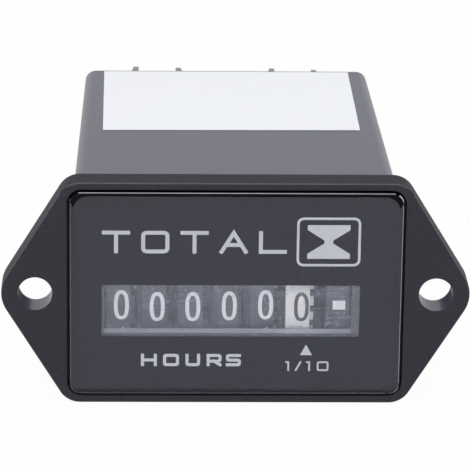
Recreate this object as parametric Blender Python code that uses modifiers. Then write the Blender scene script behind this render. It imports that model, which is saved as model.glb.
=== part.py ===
"""Panel hour meter: six number wheels behind a window, turned by a small clock motor through gears.

The black housing is one moulding, a hexagonal flange with a box case behind it. The lens and the
dial close its front. A movement frame inside carries the wheels, the gears, the motor and the board.
"""

import math

import bmesh
import bpy
from mathutils import Matrix

MM = 0.001

# The frame has X to the right, Y into the panel and Z up. The origin is the middle of the lens's front.

# Gaps
SEAT_GAP = 0.3 * MM
BORE_GAP = 0.15 * MM

# Flange
HOLE_SPACING = 50.8 * MM
HOLE_DIAMETER = 4.37 * MM
FLANGE_HEIGHT = 29.5 * MM
FLANGE_THICKNESS = 4.0 * MM
FLANGE_TIP_RADIUS = 4.28 * MM
FLANGE_CORNER_RADIUS = 3.0 * MM
FLANGE_SLOPE = math.radians(31.5)
FLANGE_EDGE_BREAK = 0.2 * MM

# Case behind the flange
CASE_DEPTH = 55.2 * MM
CASE_WIDTH = 41.35 * MM
CASE_WALL = 1.5 * MM
CASE_CORNER_RADIUS = 1.5 * MM
CASE_DRAFT = math.radians(0.85)
REAR_EDGE_RADIUS = 0.5 * MM

# Lens and dial
POCKET_WIDTH = 42.65 * MM
POCKET_HEIGHT = 27.65 * MM
POCKET_CORNER_RADIUS = 1.8 * MM
LENS_PROUD = 0.3 * MM
LENS_THICKNESS = 1.2 * MM
LENS_EDGE_BREAK = 0.5 * MM
LENS_EDGE_STEPS = 3
DIAL_THICKNESS = 0.5 * MM
DIAL_MARGIN = 0.6 * MM
WINDOW_LEFT = -17.0 * MM
WINDOW_RIGHT = 15.8 * MM
WINDOW_TOP = 0.9 * MM
WINDOW_BOTTOM = -6.05 * MM

# Movement frame
FRAME_FRONT_THICKNESS = 1.0 * MM
FRAME_CHEEK_THICKNESS = 0.9 * MM
FRAME_CHEEK_HEAD_ROOM = 1.15 * MM
FRAME_REAR_WALL = 1.0 * MM
FRAME_LENGTH = 34.7 * MM
FRAME_CHEEK_GAP = 1.1 * MM
FRAME_WINDOW_LEFT = -16.7 * MM
FRAME_WINDOW_RIGHT = 14.85 * MM
FRAME_WINDOW_TOP = 1.6 * MM
FRAME_WINDOW_BOTTOM = -5.85 * MM
LEDGE_PROUD = 0.6 * MM
LEDGE_HEIGHT = 1.2 * MM
MOTOR_WALL_THICKNESS = 1.0 * MM
CHEEK_OPENING_RADIUS = 4.5 * MM

# Number wheels
WHEEL_COUNT = 6
WHEEL_PITCH = 4.58 * MM
FIRST_WHEEL_LEFT = -16.42 * MM
WHEEL_RADIUS = 8.0 * MM
WHEEL_BAND = 3.1 * MM
WHEEL_RIM_WALL = 0.9 * MM
WHEEL_HUB_RADIUS = 2.2 * MM
WHEEL_WEB = 1.1 * MM
WHEEL_AXIS_HEIGHT = -2.9 * MM
WHEEL_FRONT_GAP = 0.5 * MM
WHEEL_FLOOR_GAP = 0.55 * MM
WHEEL_SHAFT_RADIUS = 1.0 * MM
RING_PROUD = 0.54 * MM
RING_WIDTH = 1.04 * MM
RING_INNER_RADIUS = 4.6 * MM
DRUM_RADIUS = 5.5 * MM
DRUM_WALL = 1.0 * MM
DRUM_PROUD = 0.7 * MM
DRIVE_TOOTH_HEIGHT = 0.55 * MM
DRIVE_TOOTH_WIDTH = 0.7 * MM

# Teeth; shares are a tooth's width over the pitch, first at its tip and then at its root
TOOTH_HEIGHT_SHARE = 0.8
ROOT_GAP = 0.1 * MM
RING_TOOTH_RISE = 0.4 * MM
RING_SHARES = (0.60, 0.72)
RING_ROOT_RELIEF = 0.3 * MM
TRANSFER_TOOTH_RISE = 0.3 * MM
TRANSFER_SHARES = (0.10, 0.26)
GEAR_SHARES = (0.22, 0.56)
PINION_SHARES = (0.18, 0.46)
WHEEL_TEETH = 20
PINION_TEETH = 8
WHEEL_MODULE = 0.65 * MM
LAY_TEETH = 24
INDICATOR_PINION_TEETH = 10
INDICATOR_TEETH = 40
INTERMEDIATE_PINION_TEETH = 8
INDICATOR_MODULE = 0.375 * MM
INTERMEDIATE_TEETH = 48
ROTOR_TEETH = 8
ROTOR_MODULE = 0.25 * MM

# Transfer pinions and lay gear
PINION_SHAFT_ANGLE = math.radians(50)
PINION_SHAFT_RADIUS = 0.6 * MM
PINION_START = 0.17 * MM
PINION_WIDTH = 1.1 * MM
LAY_START = 0.35 * MM
LAY_PINION_WIDTH = 0.45 * MM
LAY_GEAR_WIDTH = 0.8 * MM

# Indicator wheel
INDICATOR_LEFT = 11.62 * MM
INDICATOR_PINION_LENGTH = 1.2 * MM
INDICATOR_GEAR_PROUD = 0.8 * MM
INDICATOR_GEAR_WIDTH = 1.4 * MM
INDICATOR_GEAR_INNER_RADIUS = 5.4 * MM

# Intermediate gear and its post
POST_RADIUS = 0.5 * MM
INTERMEDIATE_PINION_GAP = 0.2 * MM
INTERMEDIATE_GEAR_WIDTH = 0.65 * MM
INTERMEDIATE_GEAR_GAP = 0.2 * MM

# Motor
ROTOR_SPINDLE_RADIUS = 0.35 * MM
ROTOR_MAGNET_RADIUS = 2.8 * MM
ROTOR_MAGNET_LENGTH = 2.4 * MM
ROTOR_AIR_GAP = 0.4 * MM
ROTOR_PINION_LENGTH = 1.0 * MM
STATOR_THICKNESS = 1.2 * MM
STATOR_FRONT = 22.0 * MM
STATOR_REAR = 34.6 * MM
STATOR_FOOT_HEIGHT = 9.4 * MM
STATOR_HEIGHT = 15.6 * MM
STATOR_LIMB_WIDTH = 2.6 * MM
STATOR_CORNER_RADIUS = 0.8 * MM
CORE_HEIGHT = 2.2 * MM
COIL_WIDTH = 4.4 * MM
COIL_HEIGHT = 5.6 * MM
BOBBIN_WALL = 0.4 * MM
COIL_END_GAP = 0.3 * MM
WINDING_INSET = 0.2 * MM
WINDING_CORNER_RADIUS = 0.7 * MM
WINDING_GAP = 0.1 * MM
LEAD_RADIUS = 0.2 * MM

# Board and what it carries
BOARD_GAP = 1.0 * MM
BOARD_THICKNESS = 1.2 * MM
BOARD_WIDTH = 31.0 * MM
BOARD_HEAD_ROOM = 0.8 * MM
BOARD_POST_RADIUS = 1.0 * MM
BOARD_SHOULDER_RADIUS = 1.8 * MM
BOARD_POST_INSET = 1.9 * MM
BOARD_POST_RISE = 2.1 * MM
BOARD_POST_PROUD = 0.8 * MM
CAPACITOR_RADIUS = 3.15 * MM
CAPACITOR_LENGTH = 8.0 * MM
CAPACITOR_X = 7.5 * MM
CAPACITOR_Z = -4.5 * MM
CRYSTAL_RADIUS = 1.0 * MM
CRYSTAL_LENGTH = 6.0 * MM
CRYSTAL_X = -6.5 * MM
CRYSTAL_Z = -7.0 * MM
CHIP_WIDTH = 5.0 * MM
CHIP_HEIGHT = 4.0 * MM
CHIP_DEPTH = 1.5 * MM
CHIP_X = -6.5 * MM
CHIP_Z = -2.6 * MM
RECTIFIER_WIDTH = 6.5 * MM
RECTIFIER_HEIGHT = 4.6 * MM
RECTIFIER_DEPTH = 2.5 * MM
RECTIFIER_Z = 5.0 * MM
RESISTOR_RADIUS = 1.15 * MM
RESISTOR_LENGTH = 6.3 * MM
RESISTOR_Z = -0.4 * MM

# Terminals
TERMINAL_LEFT_X = -9.3 * MM
TERMINAL_RIGHT_X = 9.0 * MM
TERMINAL_BELOW_TOP = 5.4 * MM
BOSS_RADIUS = 3.6 * MM
BOSS_LENGTH = 2.6 * MM
INSERT_RADIUS = 2.4 * MM
INSERT_COLLAR_RADIUS = 3.2 * MM
INSERT_COLLAR = 0.6 * MM
INSERT_INNER_PROUD = 0.4 * MM
SCREW_RADIUS = 1.5 * MM
SCREW_HEAD_RADIUS = 2.1 * MM
SCREW_HEAD_HEIGHT = 1.9 * MM
SCREW_LENGTH = 5.0 * MM
SCREW_SLOT_WIDTH = 0.6 * MM
SCREW_SLOT_DEPTH = 0.8 * MM
CLAMP_SIZE = 7.0 * MM
CLAMP_PLATE = 0.7 * MM
CLAMP_EAR_HEIGHT = 3.7 * MM
CLAMP_EAR_WIDTH = 1.0 * MM
CLAMP_EAR_SLOPE = 0.4 * MM
CLAMP_TURN_LEFT = math.radians(-1.2)
CLAMP_TURN_RIGHT = math.radians(-1.6)
STRAP_WIDTH = 4.0 * MM
STRAP_THICKNESS = 0.5 * MM
STRAP_TAIL = 2.4 * MM

# Label on top of the case
LABEL_WIDTH = 34.4 * MM
LABEL_LENGTH = 29.5 * MM
LABEL_FROM_FLANGE = 25.1 * MM
LABEL_THICKNESS = 0.12 * MM
LABEL_GLUE = 0.03 * MM

# Facets
FINE_STEPS = 32
WHEEL_STEPS = 24
SMALL_STEPS = 16
ARC_STEPS = 4
WELD_DISTANCE = 0.001 * MM
CUT_OVERRUN = 1.0 * MM

# Places that follow from the sizes above, along Y from the lens's front face
flange_front = LENS_PROUD
flange_back = flange_front + FLANGE_THICKNESS
case_rear = flange_back + CASE_DEPTH
dial_front = LENS_THICKNESS + SEAT_GAP
dial_back = dial_front + DIAL_THICKNESS
pocket_floor = dial_back + SEAT_GAP
frame_front = dial_back + SEAT_GAP
frame_plate_back = frame_front + FRAME_FRONT_THICKNESS
frame_rear = frame_front + FRAME_LENGTH
wheel_axis_y = frame_plate_back + WHEEL_FRONT_GAP + WHEEL_RADIUS
wheel_axis_z = WHEEL_AXIS_HEIGHT

# Shafts that lie behind the wheels, each at the distance its gears need
pinion_distance = WHEEL_MODULE * (WHEEL_TEETH + PINION_TEETH) / 2
pinion_axis_y = wheel_axis_y + pinion_distance * math.cos(PINION_SHAFT_ANGLE)
pinion_axis_z = wheel_axis_z + pinion_distance * math.sin(PINION_SHAFT_ANGLE)
lay_module = 2 * pinion_distance / (LAY_TEETH + INDICATOR_PINION_TEETH)
intermediate_distance = INDICATOR_MODULE * (INDICATOR_TEETH + INTERMEDIATE_PINION_TEETH) / 2
intermediate_axis_y = wheel_axis_y + intermediate_distance
rotor_distance = ROTOR_MODULE * (INTERMEDIATE_TEETH + ROTOR_TEETH) / 2
rotor_axis_y = intermediate_axis_y + rotor_distance

# Case section at the flange; the number wheels' lowest point sets the floor, and so the case's height
cavity_half_width = CASE_WIDTH / 2 - CASE_WALL
cavity_half_height = WHEEL_RADIUS + WHEEL_FLOOR_GAP - wheel_axis_z
case_half_height = cavity_half_height + CASE_WALL
cheek_outer = cavity_half_width - FRAME_CHEEK_GAP
cheek_inner = cheek_outer - FRAME_CHEEK_THICKNESS
frame_half_height = cavity_half_height - FRAME_CHEEK_HEAD_ROOM
board_half_height = frame_half_height - BOARD_HEAD_ROOM
board_post_x = BOARD_WIDTH / 2 - BOARD_POST_INSET
board_post_z = BOARD_POST_RISE - board_half_height
terminal_z = case_half_height - TERMINAL_BELOW_TOP

# Places along X of the gears to the right of the number wheels
last_wheel_left = FIRST_WHEEL_LEFT + (WHEEL_COUNT - 1) * WHEEL_PITCH
indicator_right = INDICATOR_LEFT + WHEEL_BAND
indicator_gear_right = indicator_right + INDICATOR_GEAR_PROUD
intermediate_left = indicator_right + INTERMEDIATE_PINION_GAP
intermediate_gear_left = indicator_gear_right + INTERMEDIATE_GEAR_GAP
lay_left = last_wheel_left + WHEEL_BAND + LAY_START
lay_gear_right = lay_left + LAY_PINION_WIDTH + LAY_GEAR_WIDTH
motor_wall_left = lay_gear_right - MOTOR_WALL_THICKNESS
motor_wall_right = lay_gear_right
motor_wall_front = pinion_axis_y + lay_module * LAY_TEETH / 2 + 1.2 * MM
stator_left = motor_wall_right + SEAT_GAP
magnet_middle = stator_left + ROTOR_MAGNET_LENGTH / 2
core_left = stator_left + STATOR_THICKNESS + SEAT_GAP
coil_middle_x = core_left + STATOR_THICKNESS / 2
stator_bottom = wheel_axis_z - STATOR_FOOT_HEIGHT / 2
stator_foot_top = wheel_axis_z + STATOR_FOOT_HEIGHT / 2
stator_top = stator_bottom + STATOR_HEIGHT
coil_middle_z = stator_top - CORE_HEIGHT / 2 - SEAT_GAP

for leftover in list(bpy.data.objects):
    bpy.data.objects.remove(leftover)

pieces = bpy.data.collections.new("hour_meter")
cutters = bpy.data.collections.new("cutters")
bpy.context.scene.collection.children.link(pieces)
bpy.context.scene.collection.children.link(cutters)


def finish(name, colour, roughness, metallic=0.0, alpha=1.0):
    """A plain Principled material from an sRGB hex colour."""
    material = bpy.data.materials.new(name)
    material.use_nodes = True
    shader = material.node_tree.nodes["Principled BSDF"]
    channels = [int(colour[i:i + 2], 16) / 255 for i in (0, 2, 4)]
    linear = [c / 12.92 if c <= 0.04045 else ((c + 0.055) / 1.055) ** 2.4 for c in channels]
    shader.inputs["Base Color"].default_value = (*linear, 1.0)
    shader.inputs["Roughness"].default_value = roughness
    shader.inputs["Metallic"].default_value = metallic
    shader.inputs["Alpha"].default_value = alpha
    material.diffuse_color = (*linear, alpha)
    return material


def mesh_from(bm, name):
    """Close a bmesh's doubles, point its faces out and store it as a mesh."""
    bmesh.ops.remove_doubles(bm, verts=bm.verts, dist=WELD_DISTANCE)
    bmesh.ops.recalc_face_normals(bm, faces=bm.faces)
    mesh = bpy.data.meshes.new(name)
    bm.to_mesh(mesh)
    bm.free()
    return mesh


def piece(name, mesh, material, location=(0, 0, 0), rotation=(0, 0, 0)):
    """One named part, kept in the collection of the object's pieces."""
    part = bpy.data.objects.new(name, mesh)
    part.location = location
    part.rotation_euler = rotation
    if not mesh.materials:
        mesh.materials.append(material)
    pieces.objects.link(part)
    return part


def tool(name, mesh):
    """A solid that only cuts or joins, hidden in renders."""
    cutter = bpy.data.objects.new(name, mesh)
    cutter.hide_render = True
    cutter.display_type = 'WIRE'
    cutters.objects.link(cutter)
    return cutter


def combine(target, operation, mesh):
    """Cut a mesh out of a part, or join it on, with an exact Boolean."""
    cutter = tool(f"{target.name}_{operation.lower()}_{len(target.modifiers)}", mesh)
    modifier = target.modifiers.new(cutter.name, 'BOOLEAN')
    modifier.operation = operation
    modifier.solver = 'EXACT'
    modifier.object = cutter


def cut(target, mesh):
    combine(target, 'DIFFERENCE', mesh)


def join(target, mesh):
    combine(target, 'UNION', mesh)


def evaluated_mesh(source):
    """The mesh that an object shows with its modifiers, welded and facing out."""
    bpy.context.view_layer.update()
    depsgraph = bpy.context.evaluated_depsgraph_get()
    mesh = bpy.data.meshes.new_from_object(source.evaluated_get(depsgraph))
    bm = bmesh.new()
    bm.from_mesh(mesh)
    return mesh_from(bm, source.name)


def block(x, y, z, corner_radius=0.0, corner_axis='Y', segments=3):
    """A box between pairs of limits, with the four edges along one axis rounded if asked."""
    bm = bmesh.new()
    bmesh.ops.create_cube(bm, size=1.0)
    spans = [high - low for low, high in (x, y, z)]
    middles = [(high + low) / 2 for low, high in (x, y, z)]
    bmesh.ops.scale(bm, vec=spans, verts=bm.verts)
    bmesh.ops.translate(bm, vec=middles, verts=bm.verts)
    if corner_radius:
        along = 'XYZ'.index(corner_axis)
        edges = [e for e in bm.edges if abs(e.verts[0].co[along] - e.verts[1].co[along]) > WELD_DISTANCE]
        bmesh.ops.bevel(bm, geom=edges, offset=corner_radius, segments=segments, profile=0.5,
                        affect='EDGES', material=-1)
    return mesh_from(bm, "block")


def rod(radius, low, high, axis, across, steps=SMALL_STEPS):
    """A cylinder along X or Y between two limits; across gives its other two coordinates."""
    bm = bmesh.new()
    bmesh.ops.create_cone(bm, cap_ends=True, segments=steps, radius1=radius, radius2=radius,
                          depth=high - low)
    middle = (low + high) / 2
    if axis == 'X':
        turn = Matrix.Rotation(math.radians(90), 4, 'Y')
        place = Matrix.Translation((middle, across[0], across[1]))
    else:
        turn = Matrix.Rotation(math.radians(90), 4, 'X')
        place = Matrix.Translation((across[0], middle, across[1]))
    bmesh.ops.transform(bm, matrix=place @ turn, verts=bm.verts)
    return mesh_from(bm, "rod")


def arc(centre, radius, start, end, steps):
    """Points on an arc in an outline's plane, angles in radians."""
    turns = [start + (end - start) * i / steps for i in range(steps + 1)]
    return [(centre[0] + radius * math.cos(t), centre[1] + radius * math.sin(t)) for t in turns]


def extruded(outlines, low, high):
    """A flat outline, with further outlines as holes, extruded along local Z from low to high."""
    # The curve is drawn in millimetres and the mesh scaled down, so that fine teeth are not merged.
    curve = bpy.data.curves.new("outline", 'CURVE')
    curve.dimensions = '2D'
    curve.fill_mode = 'BOTH'
    curve.extrude = (high - low) / 2 / MM
    for outline in outlines:
        spline = curve.splines.new('POLY')
        spline.points.add(len(outline) - 1)
        for point, (x, y) in zip(spline.points, outline):
            point.co = (x / MM, y / MM, 0, 1)
        spline.use_cyclic_u = True
    drawn = tool("outline", curve)
    bpy.context.view_layer.update()
    depsgraph = bpy.context.evaluated_depsgraph_get()
    mesh = bpy.data.meshes.new_from_object(drawn.evaluated_get(depsgraph))
    mesh.transform(Matrix.Translation((0, 0, (low + high) / 2)) @ Matrix.Scale(MM, 4))
    bpy.data.objects.remove(drawn)
    bm = bmesh.new()
    bm.from_mesh(mesh)
    return mesh_from(bm, "extruded")


# Outline X becomes Y, outline Y becomes Z and the extrusion runs along X.
OUTLINE_TO_SIDE = Matrix(((0, 0, 1, 0), (1, 0, 0, 0), (0, 1, 0, 0), (0, 0, 0, 1)))


def facing_front(mesh):
    """Stand a mesh up so that its outline lies in XZ and its local Z runs back along Y."""
    mesh.transform(Matrix.Scale(-1, 4, (0, 1, 0)) @ Matrix.Rotation(math.radians(90), 4, 'X'))
    mesh.flip_normals()
    return mesh


def turned(profile, steps, closed=True):
    """A profile of (radius, height) points turned round local Z with a Screw modifier."""
    rows = [(radius, 0, height) for radius, height in profile]
    links = [(i, i + 1) for i in range(len(rows) - 1)]
    if closed:
        links.append((len(rows) - 1, 0))
    mesh = bpy.data.meshes.new("profile")
    mesh.from_pydata(rows, links, [])
    source = tool("profile", mesh)
    screw = source.modifiers.new("turn", 'SCREW')
    screw.steps = steps
    screw.render_steps = steps
    screw.use_merge_vertices = True
    screw.merge_threshold = WELD_DISTANCE
    result = evaluated_mesh(source)
    bpy.data.objects.remove(source)
    return result


def circle(radius, steps):
    return arc((0, 0), radius, 0, 2 * math.pi * (steps - 1) / steps, steps - 1)


def toothed(teeth, module, rise, mate_rise, shares, tooth_at):
    """A gear's outline: straight-sided teeth that rise above the pitch circle, gaps for the mate's teeth.

    The angle tooth_at is counted in the plane across the shaft, from +Y towards +Z once in place.
    """
    pitch_radius = teeth * module / 2
    tip_radius = pitch_radius + rise
    root_radius = pitch_radius - mate_rise - ROOT_GAP
    tip_half, root_half = (math.pi * share / teeth for share in shares)
    outline = []
    for i in range(teeth):
        middle = tooth_at + math.radians(90) + 2 * math.pi * i / teeth
        flanks = (
            (root_radius, -root_half), (tip_radius, -tip_half),
            (tip_radius, tip_half), (root_radius, root_half),
        )
        for radius, turn in flanks:
            outline.append((radius * math.cos(middle + turn), radius * math.sin(middle + turn)))
    return outline


def gear_outline(teeth, module, shares, tooth_at):
    """An ordinary gear, its teeth as high as those of its mate."""
    rise = TOOTH_HEIGHT_SHARE * module
    return toothed(teeth, module, rise, rise, shares, tooth_at)


def on_shaft(name, mesh, material, x, axis_y, axis_z):
    """A turning piece, its local Z laid along +X and its origin on the shaft's axis."""
    return piece(name, mesh, material, (x, axis_y, axis_z), (0, math.radians(90), 0))


def joined_mesh(first, *others):
    """One mesh from several overlapping solids, by exact unions."""
    body = tool("body", first)
    for other in others:
        join(body, other)
    result = evaluated_mesh(body)
    for modifier in body.modifiers:
        bpy.data.objects.remove(modifier.object)
    bpy.data.objects.remove(body)
    return result


def narrowing(depth_behind_flange):
    """How far each case wall has leaned in at a depth behind the flange."""
    return depth_behind_flange * math.tan(CASE_DRAFT)


def tapered_box(half_width, half_height, front, rear, corner_radius, segments):
    """A box that narrows to the rear with the draft, its long edges rounded."""
    bm = bmesh.new()
    bmesh.ops.create_cube(bm, size=2.0)
    for vertex in bm.verts:
        at = front if vertex.co.y < 0 else rear
        lean = narrowing(at - flange_back)
        vertex.co.x *= half_width - lean
        vertex.co.z *= half_height - lean
        vertex.co.y = at
    long_edges = [e for e in bm.edges if abs(e.verts[0].co.y - e.verts[1].co.y) > WELD_DISTANCE]
    bmesh.ops.bevel(bm, geom=long_edges, offset=corner_radius, segments=segments, profile=0.5,
                    affect='EDGES', material=-1)
    return bm


def break_edges(mesh, at_y, width, steps=1):
    """Bevel or round the outer edges of the flat face that lies at one depth."""
    bm = bmesh.new()
    bm.from_mesh(mesh)
    edges = [
        e for e in bm.edges
        if all(abs(v.co.y - at_y) < WELD_DISTANCE for v in e.verts)
        and any(abs(f.normal.y) < 0.5 for f in e.link_faces)
    ]
    bmesh.ops.bevel(bm, geom=edges, offset=width, segments=steps, profile=0.5, affect='EDGES', material=-1)
    return mesh_from(bm, "softened")


black_plastic = finish("black_moulded_plastic", "3b3b3c", 0.5)
lens_plastic = finish("clear_lens", "f2f4f6", 0.05, alpha=0.3)
dial_paint = finish("black_dial", "1c1c1f", 0.4)
frame_plastic = finish("grey_frame_plastic", "8a8a88", 0.5)
wheel_black = finish("black_wheel_plastic", "202124", 0.35)
wheel_white = finish("white_wheel_plastic", "e6e4da", 0.4)
gear_plastic = finish("natural_gear_plastic", "e0dcc8", 0.45)
steel = finish("bright_steel", "b9bbbd", 0.3, metallic=1.0)
silicon_steel = finish("stator_steel", "7d7f82", 0.4, metallic=1.0)
copper = finish("enamelled_copper", "b4622c", 0.35, metallic=1.0)
brass = finish("brass", "c9a24c", 0.3, metallic=1.0)
magnet_grey = finish("bonded_magnet", "3d3c3b", 0.6)
board_green = finish("glass_epoxy_board", "2f6b3a", 0.5)
label_paper = finish("white_label", "f0f2f5", 0.45)
part_black = finish("component_black", "1a1a1b", 0.5)
sleeve_blue = finish("capacitor_sleeve", "23406e", 0.45)
resistor_tan = finish("resistor_coat", "c8ad84", 0.5)


# Housing: the flange and the case are one moulding, open at the front for the movement.
def flange_outline():
    """Round tips about the screw holes, sloped edges that touch them, and rounded corners above."""
    tip_x = HOLE_SPACING / 2
    corner_z = FLANGE_HEIGHT / 2 - FLANGE_CORNER_RADIUS
    slope_reach = tip_x * math.cos(FLANGE_SLOPE) + FLANGE_TIP_RADIUS - FLANGE_CORNER_RADIUS
    corner_x = (slope_reach - corner_z * math.sin(FLANGE_SLOPE)) / math.cos(FLANGE_SLOPE)
    quarter = math.radians(90)
    half = math.radians(180)
    return (
        arc((tip_x, 0), FLANGE_TIP_RADIUS, -FLANGE_SLOPE, FLANGE_SLOPE, ARC_STEPS)
        + arc((corner_x, corner_z), FLANGE_CORNER_RADIUS, FLANGE_SLOPE, quarter, ARC_STEPS)
        + arc((-corner_x, corner_z), FLANGE_CORNER_RADIUS, quarter, half - FLANGE_SLOPE, ARC_STEPS)
        + arc((-tip_x, 0), FLANGE_TIP_RADIUS, half - FLANGE_SLOPE, half + FLANGE_SLOPE, ARC_STEPS)
        + arc((-corner_x, -corner_z), FLANGE_CORNER_RADIUS, half + FLANGE_SLOPE, 3 * quarter, ARC_STEPS)
        + arc((corner_x, -corner_z), FLANGE_CORNER_RADIUS, 3 * quarter, 4 * quarter - FLANGE_SLOPE, ARC_STEPS)
    )


def rear_rounded(bm):
    """Round the edges of the case's rear face."""
    edges = [e for e in bm.edges if all(abs(v.co.y - case_rear) < WELD_DISTANCE for v in e.verts)]
    bmesh.ops.bevel(bm, geom=edges, offset=REAR_EDGE_RADIUS, segments=2, profile=0.5,
                    affect='EDGES', material=-1)
    return mesh_from(bm, "case")


flange_mesh = facing_front(extruded([flange_outline()], flange_front, flange_back))
housing = piece("housing", break_edges(flange_mesh, flange_front, FLANGE_EDGE_BREAK), black_plastic)
case_start = pocket_floor + SEAT_GAP
case_box = tapered_box(
    CASE_WIDTH / 2, case_half_height, case_start, case_rear, CASE_CORNER_RADIUS, ARC_STEPS)
join(housing, rear_rounded(case_box))
inner_corner = max(CASE_CORNER_RADIUS - CASE_WALL, 0.4 * MM)
inner_rear = case_rear - CASE_WALL
cavity = tapered_box(cavity_half_width, cavity_half_height, -CUT_OVERRUN, inner_rear, inner_corner, 1)
cut(housing, mesh_from(cavity, "cavity"))
pocket_x = (-POCKET_WIDTH / 2, POCKET_WIDTH / 2)
pocket_z = (-POCKET_HEIGHT / 2, POCKET_HEIGHT / 2)
cut(housing, block(pocket_x, (-CUT_OVERRUN, pocket_floor), pocket_z, POCKET_CORNER_RADIUS))
hole_rear = flange_back + CUT_OVERRUN
for side in (-1, 1):
    hole_at = (side * HOLE_SPACING / 2, 0)
    cut(housing, rod(HOLE_DIAMETER / 2, -CUT_OVERRUN, hole_rear, 'Y', hole_at, FINE_STEPS))
boss_front = inner_rear - BOSS_LENGTH
boss_overlap = CASE_WALL / 2
for terminal_x in (TERMINAL_LEFT_X, TERMINAL_RIGHT_X):
    boss_at = (terminal_x, terminal_z)
    join(housing, rod(BOSS_RADIUS, boss_front, inner_rear + boss_overlap, 'Y', boss_at, SMALL_STEPS))
insert_hole = INSERT_RADIUS + SEAT_GAP
insert_hole_y = (boss_front - CUT_OVERRUN, case_rear + CUT_OVERRUN)
for terminal_x in (TERMINAL_LEFT_X, TERMINAL_RIGHT_X):
    boss_at = (terminal_x, terminal_z)
    cut(housing, rod(insert_hole, insert_hole_y[0], insert_hole_y[1], 'Y', boss_at, SMALL_STEPS))

# Lens: a clear plate bonded into the flange's pocket, a little proud of it.
lens_x = (-POCKET_WIDTH / 2 + SEAT_GAP, POCKET_WIDTH / 2 - SEAT_GAP)
lens_z = (-POCKET_HEIGHT / 2 + SEAT_GAP, POCKET_HEIGHT / 2 - SEAT_GAP)
lens_corner = POCKET_CORNER_RADIUS - SEAT_GAP
lens_mesh = block(lens_x, (0, LENS_THICKNESS), lens_z, lens_corner)
piece("lens", break_edges(lens_mesh, 0, LENS_EDGE_BREAK, LENS_EDGE_STEPS), lens_plastic)

# Dial: a thin printed mask behind the lens, with the window for the wheels.
dial_x = (-POCKET_WIDTH / 2 + DIAL_MARGIN, POCKET_WIDTH / 2 - DIAL_MARGIN)
dial_z = (-POCKET_HEIGHT / 2 + DIAL_MARGIN, POCKET_HEIGHT / 2 - DIAL_MARGIN)
dial_corner = POCKET_CORNER_RADIUS - DIAL_MARGIN
dial = piece("dial", block(dial_x, (dial_front, dial_back), dial_z, dial_corner), dial_paint)
window_y = (dial_front - CUT_OVERRUN, dial_back + CUT_OVERRUN)
cut(dial, block((WINDOW_LEFT, WINDOW_RIGHT), window_y, (WINDOW_BOTTOM, WINDOW_TOP)))

# Movement frame: front plate with a ledge under its window, two cheeks, rear wall and a motor wall.
plate_x = (-cavity_half_width + SEAT_GAP, cavity_half_width - SEAT_GAP)
plate_z = (-cavity_half_height + SEAT_GAP, cavity_half_height - SEAT_GAP)
frame = piece("movement_frame", block(plate_x, (frame_front, frame_plate_back), plate_z), frame_plastic)
inside_plate = frame_front + FRAME_FRONT_THICKNESS / 2
cheeks_z = (-frame_half_height, frame_half_height)
join(frame, block((-cheek_outer, cheek_outer), (inside_plate, frame_rear), cheeks_z))
hollow_y = (frame_plate_back, frame_rear - FRAME_REAR_WALL)
hollow_z = (-frame_half_height - CUT_OVERRUN, frame_half_height + CUT_OVERRUN)
cut(frame, block((-cheek_inner, cheek_inner), hollow_y, hollow_z))
frame_window_x = (FRAME_WINDOW_LEFT, FRAME_WINDOW_RIGHT)
frame_window_z = (FRAME_WINDOW_BOTTOM, FRAME_WINDOW_TOP)
cut(frame, block(frame_window_x, (-CUT_OVERRUN, frame_plate_back + CUT_OVERRUN), frame_window_z))
ledge_x = (FRAME_WINDOW_LEFT - LEDGE_HEIGHT, cheek_inner + FRAME_CHEEK_THICKNESS / 2)
ledge_z = (FRAME_WINDOW_BOTTOM - LEDGE_HEIGHT, FRAME_WINDOW_BOTTOM)
join(frame, block(ledge_x, (inside_plate, frame_plate_back + LEDGE_PROUD), ledge_z))
motor_wall_y = (motor_wall_front, frame_rear - FRAME_REAR_WALL / 2)
motor_wall_z = (-frame_half_height + SEAT_GAP, frame_half_height - SEAT_GAP)
join(frame, block((motor_wall_left, motor_wall_right), motor_wall_y, motor_wall_z))
intermediate_at = (intermediate_axis_y, wheel_axis_z)
post_right = cheek_outer - FRAME_CHEEK_THICKNESS / 2
join(frame, rod(POST_RADIUS, intermediate_left, post_right, 'X', intermediate_at))
shaft_run = cheek_outer + CUT_OVERRUN
wheel_shaft_at = (wheel_axis_y, wheel_axis_z)
pinion_shaft_at = (pinion_axis_y, pinion_axis_z)
rotor_at = (rotor_axis_y, wheel_axis_z)
cut(frame, rod(WHEEL_SHAFT_RADIUS + BORE_GAP, -shaft_run, shaft_run, 'X', wheel_shaft_at))
cut(frame, rod(PINION_SHAFT_RADIUS + BORE_GAP, -shaft_run, shaft_run, 'X', pinion_shaft_at))
cut(frame, rod(ROTOR_SPINDLE_RADIUS + BORE_GAP, motor_wall_left - CUT_OVERRUN, shaft_run, 'X', rotor_at))
opening_at = ((rotor_axis_y + intermediate_axis_y) / 2, wheel_axis_z)
left_run = (-shaft_run, -cheek_inner + CUT_OVERRUN)
cut(frame, rod(CHEEK_OPENING_RADIUS, left_run[0], left_run[1], 'X', opening_at, SMALL_STEPS))
lead_slot_x = (motor_wall_right + SEAT_GAP, cheek_inner - SEAT_GAP)
lead_slot_z = (coil_middle_z - COIL_HEIGHT / 2, coil_middle_z + COIL_HEIGHT / 2)
lead_slot_y = (frame_rear - FRAME_REAR_WALL - CUT_OVERRUN, frame_rear + CUT_OVERRUN)
cut(frame, block(lead_slot_x, lead_slot_y, lead_slot_z))
board_front = frame_rear + BOARD_GAP
board_rear = board_front + BOARD_THICKNESS
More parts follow.
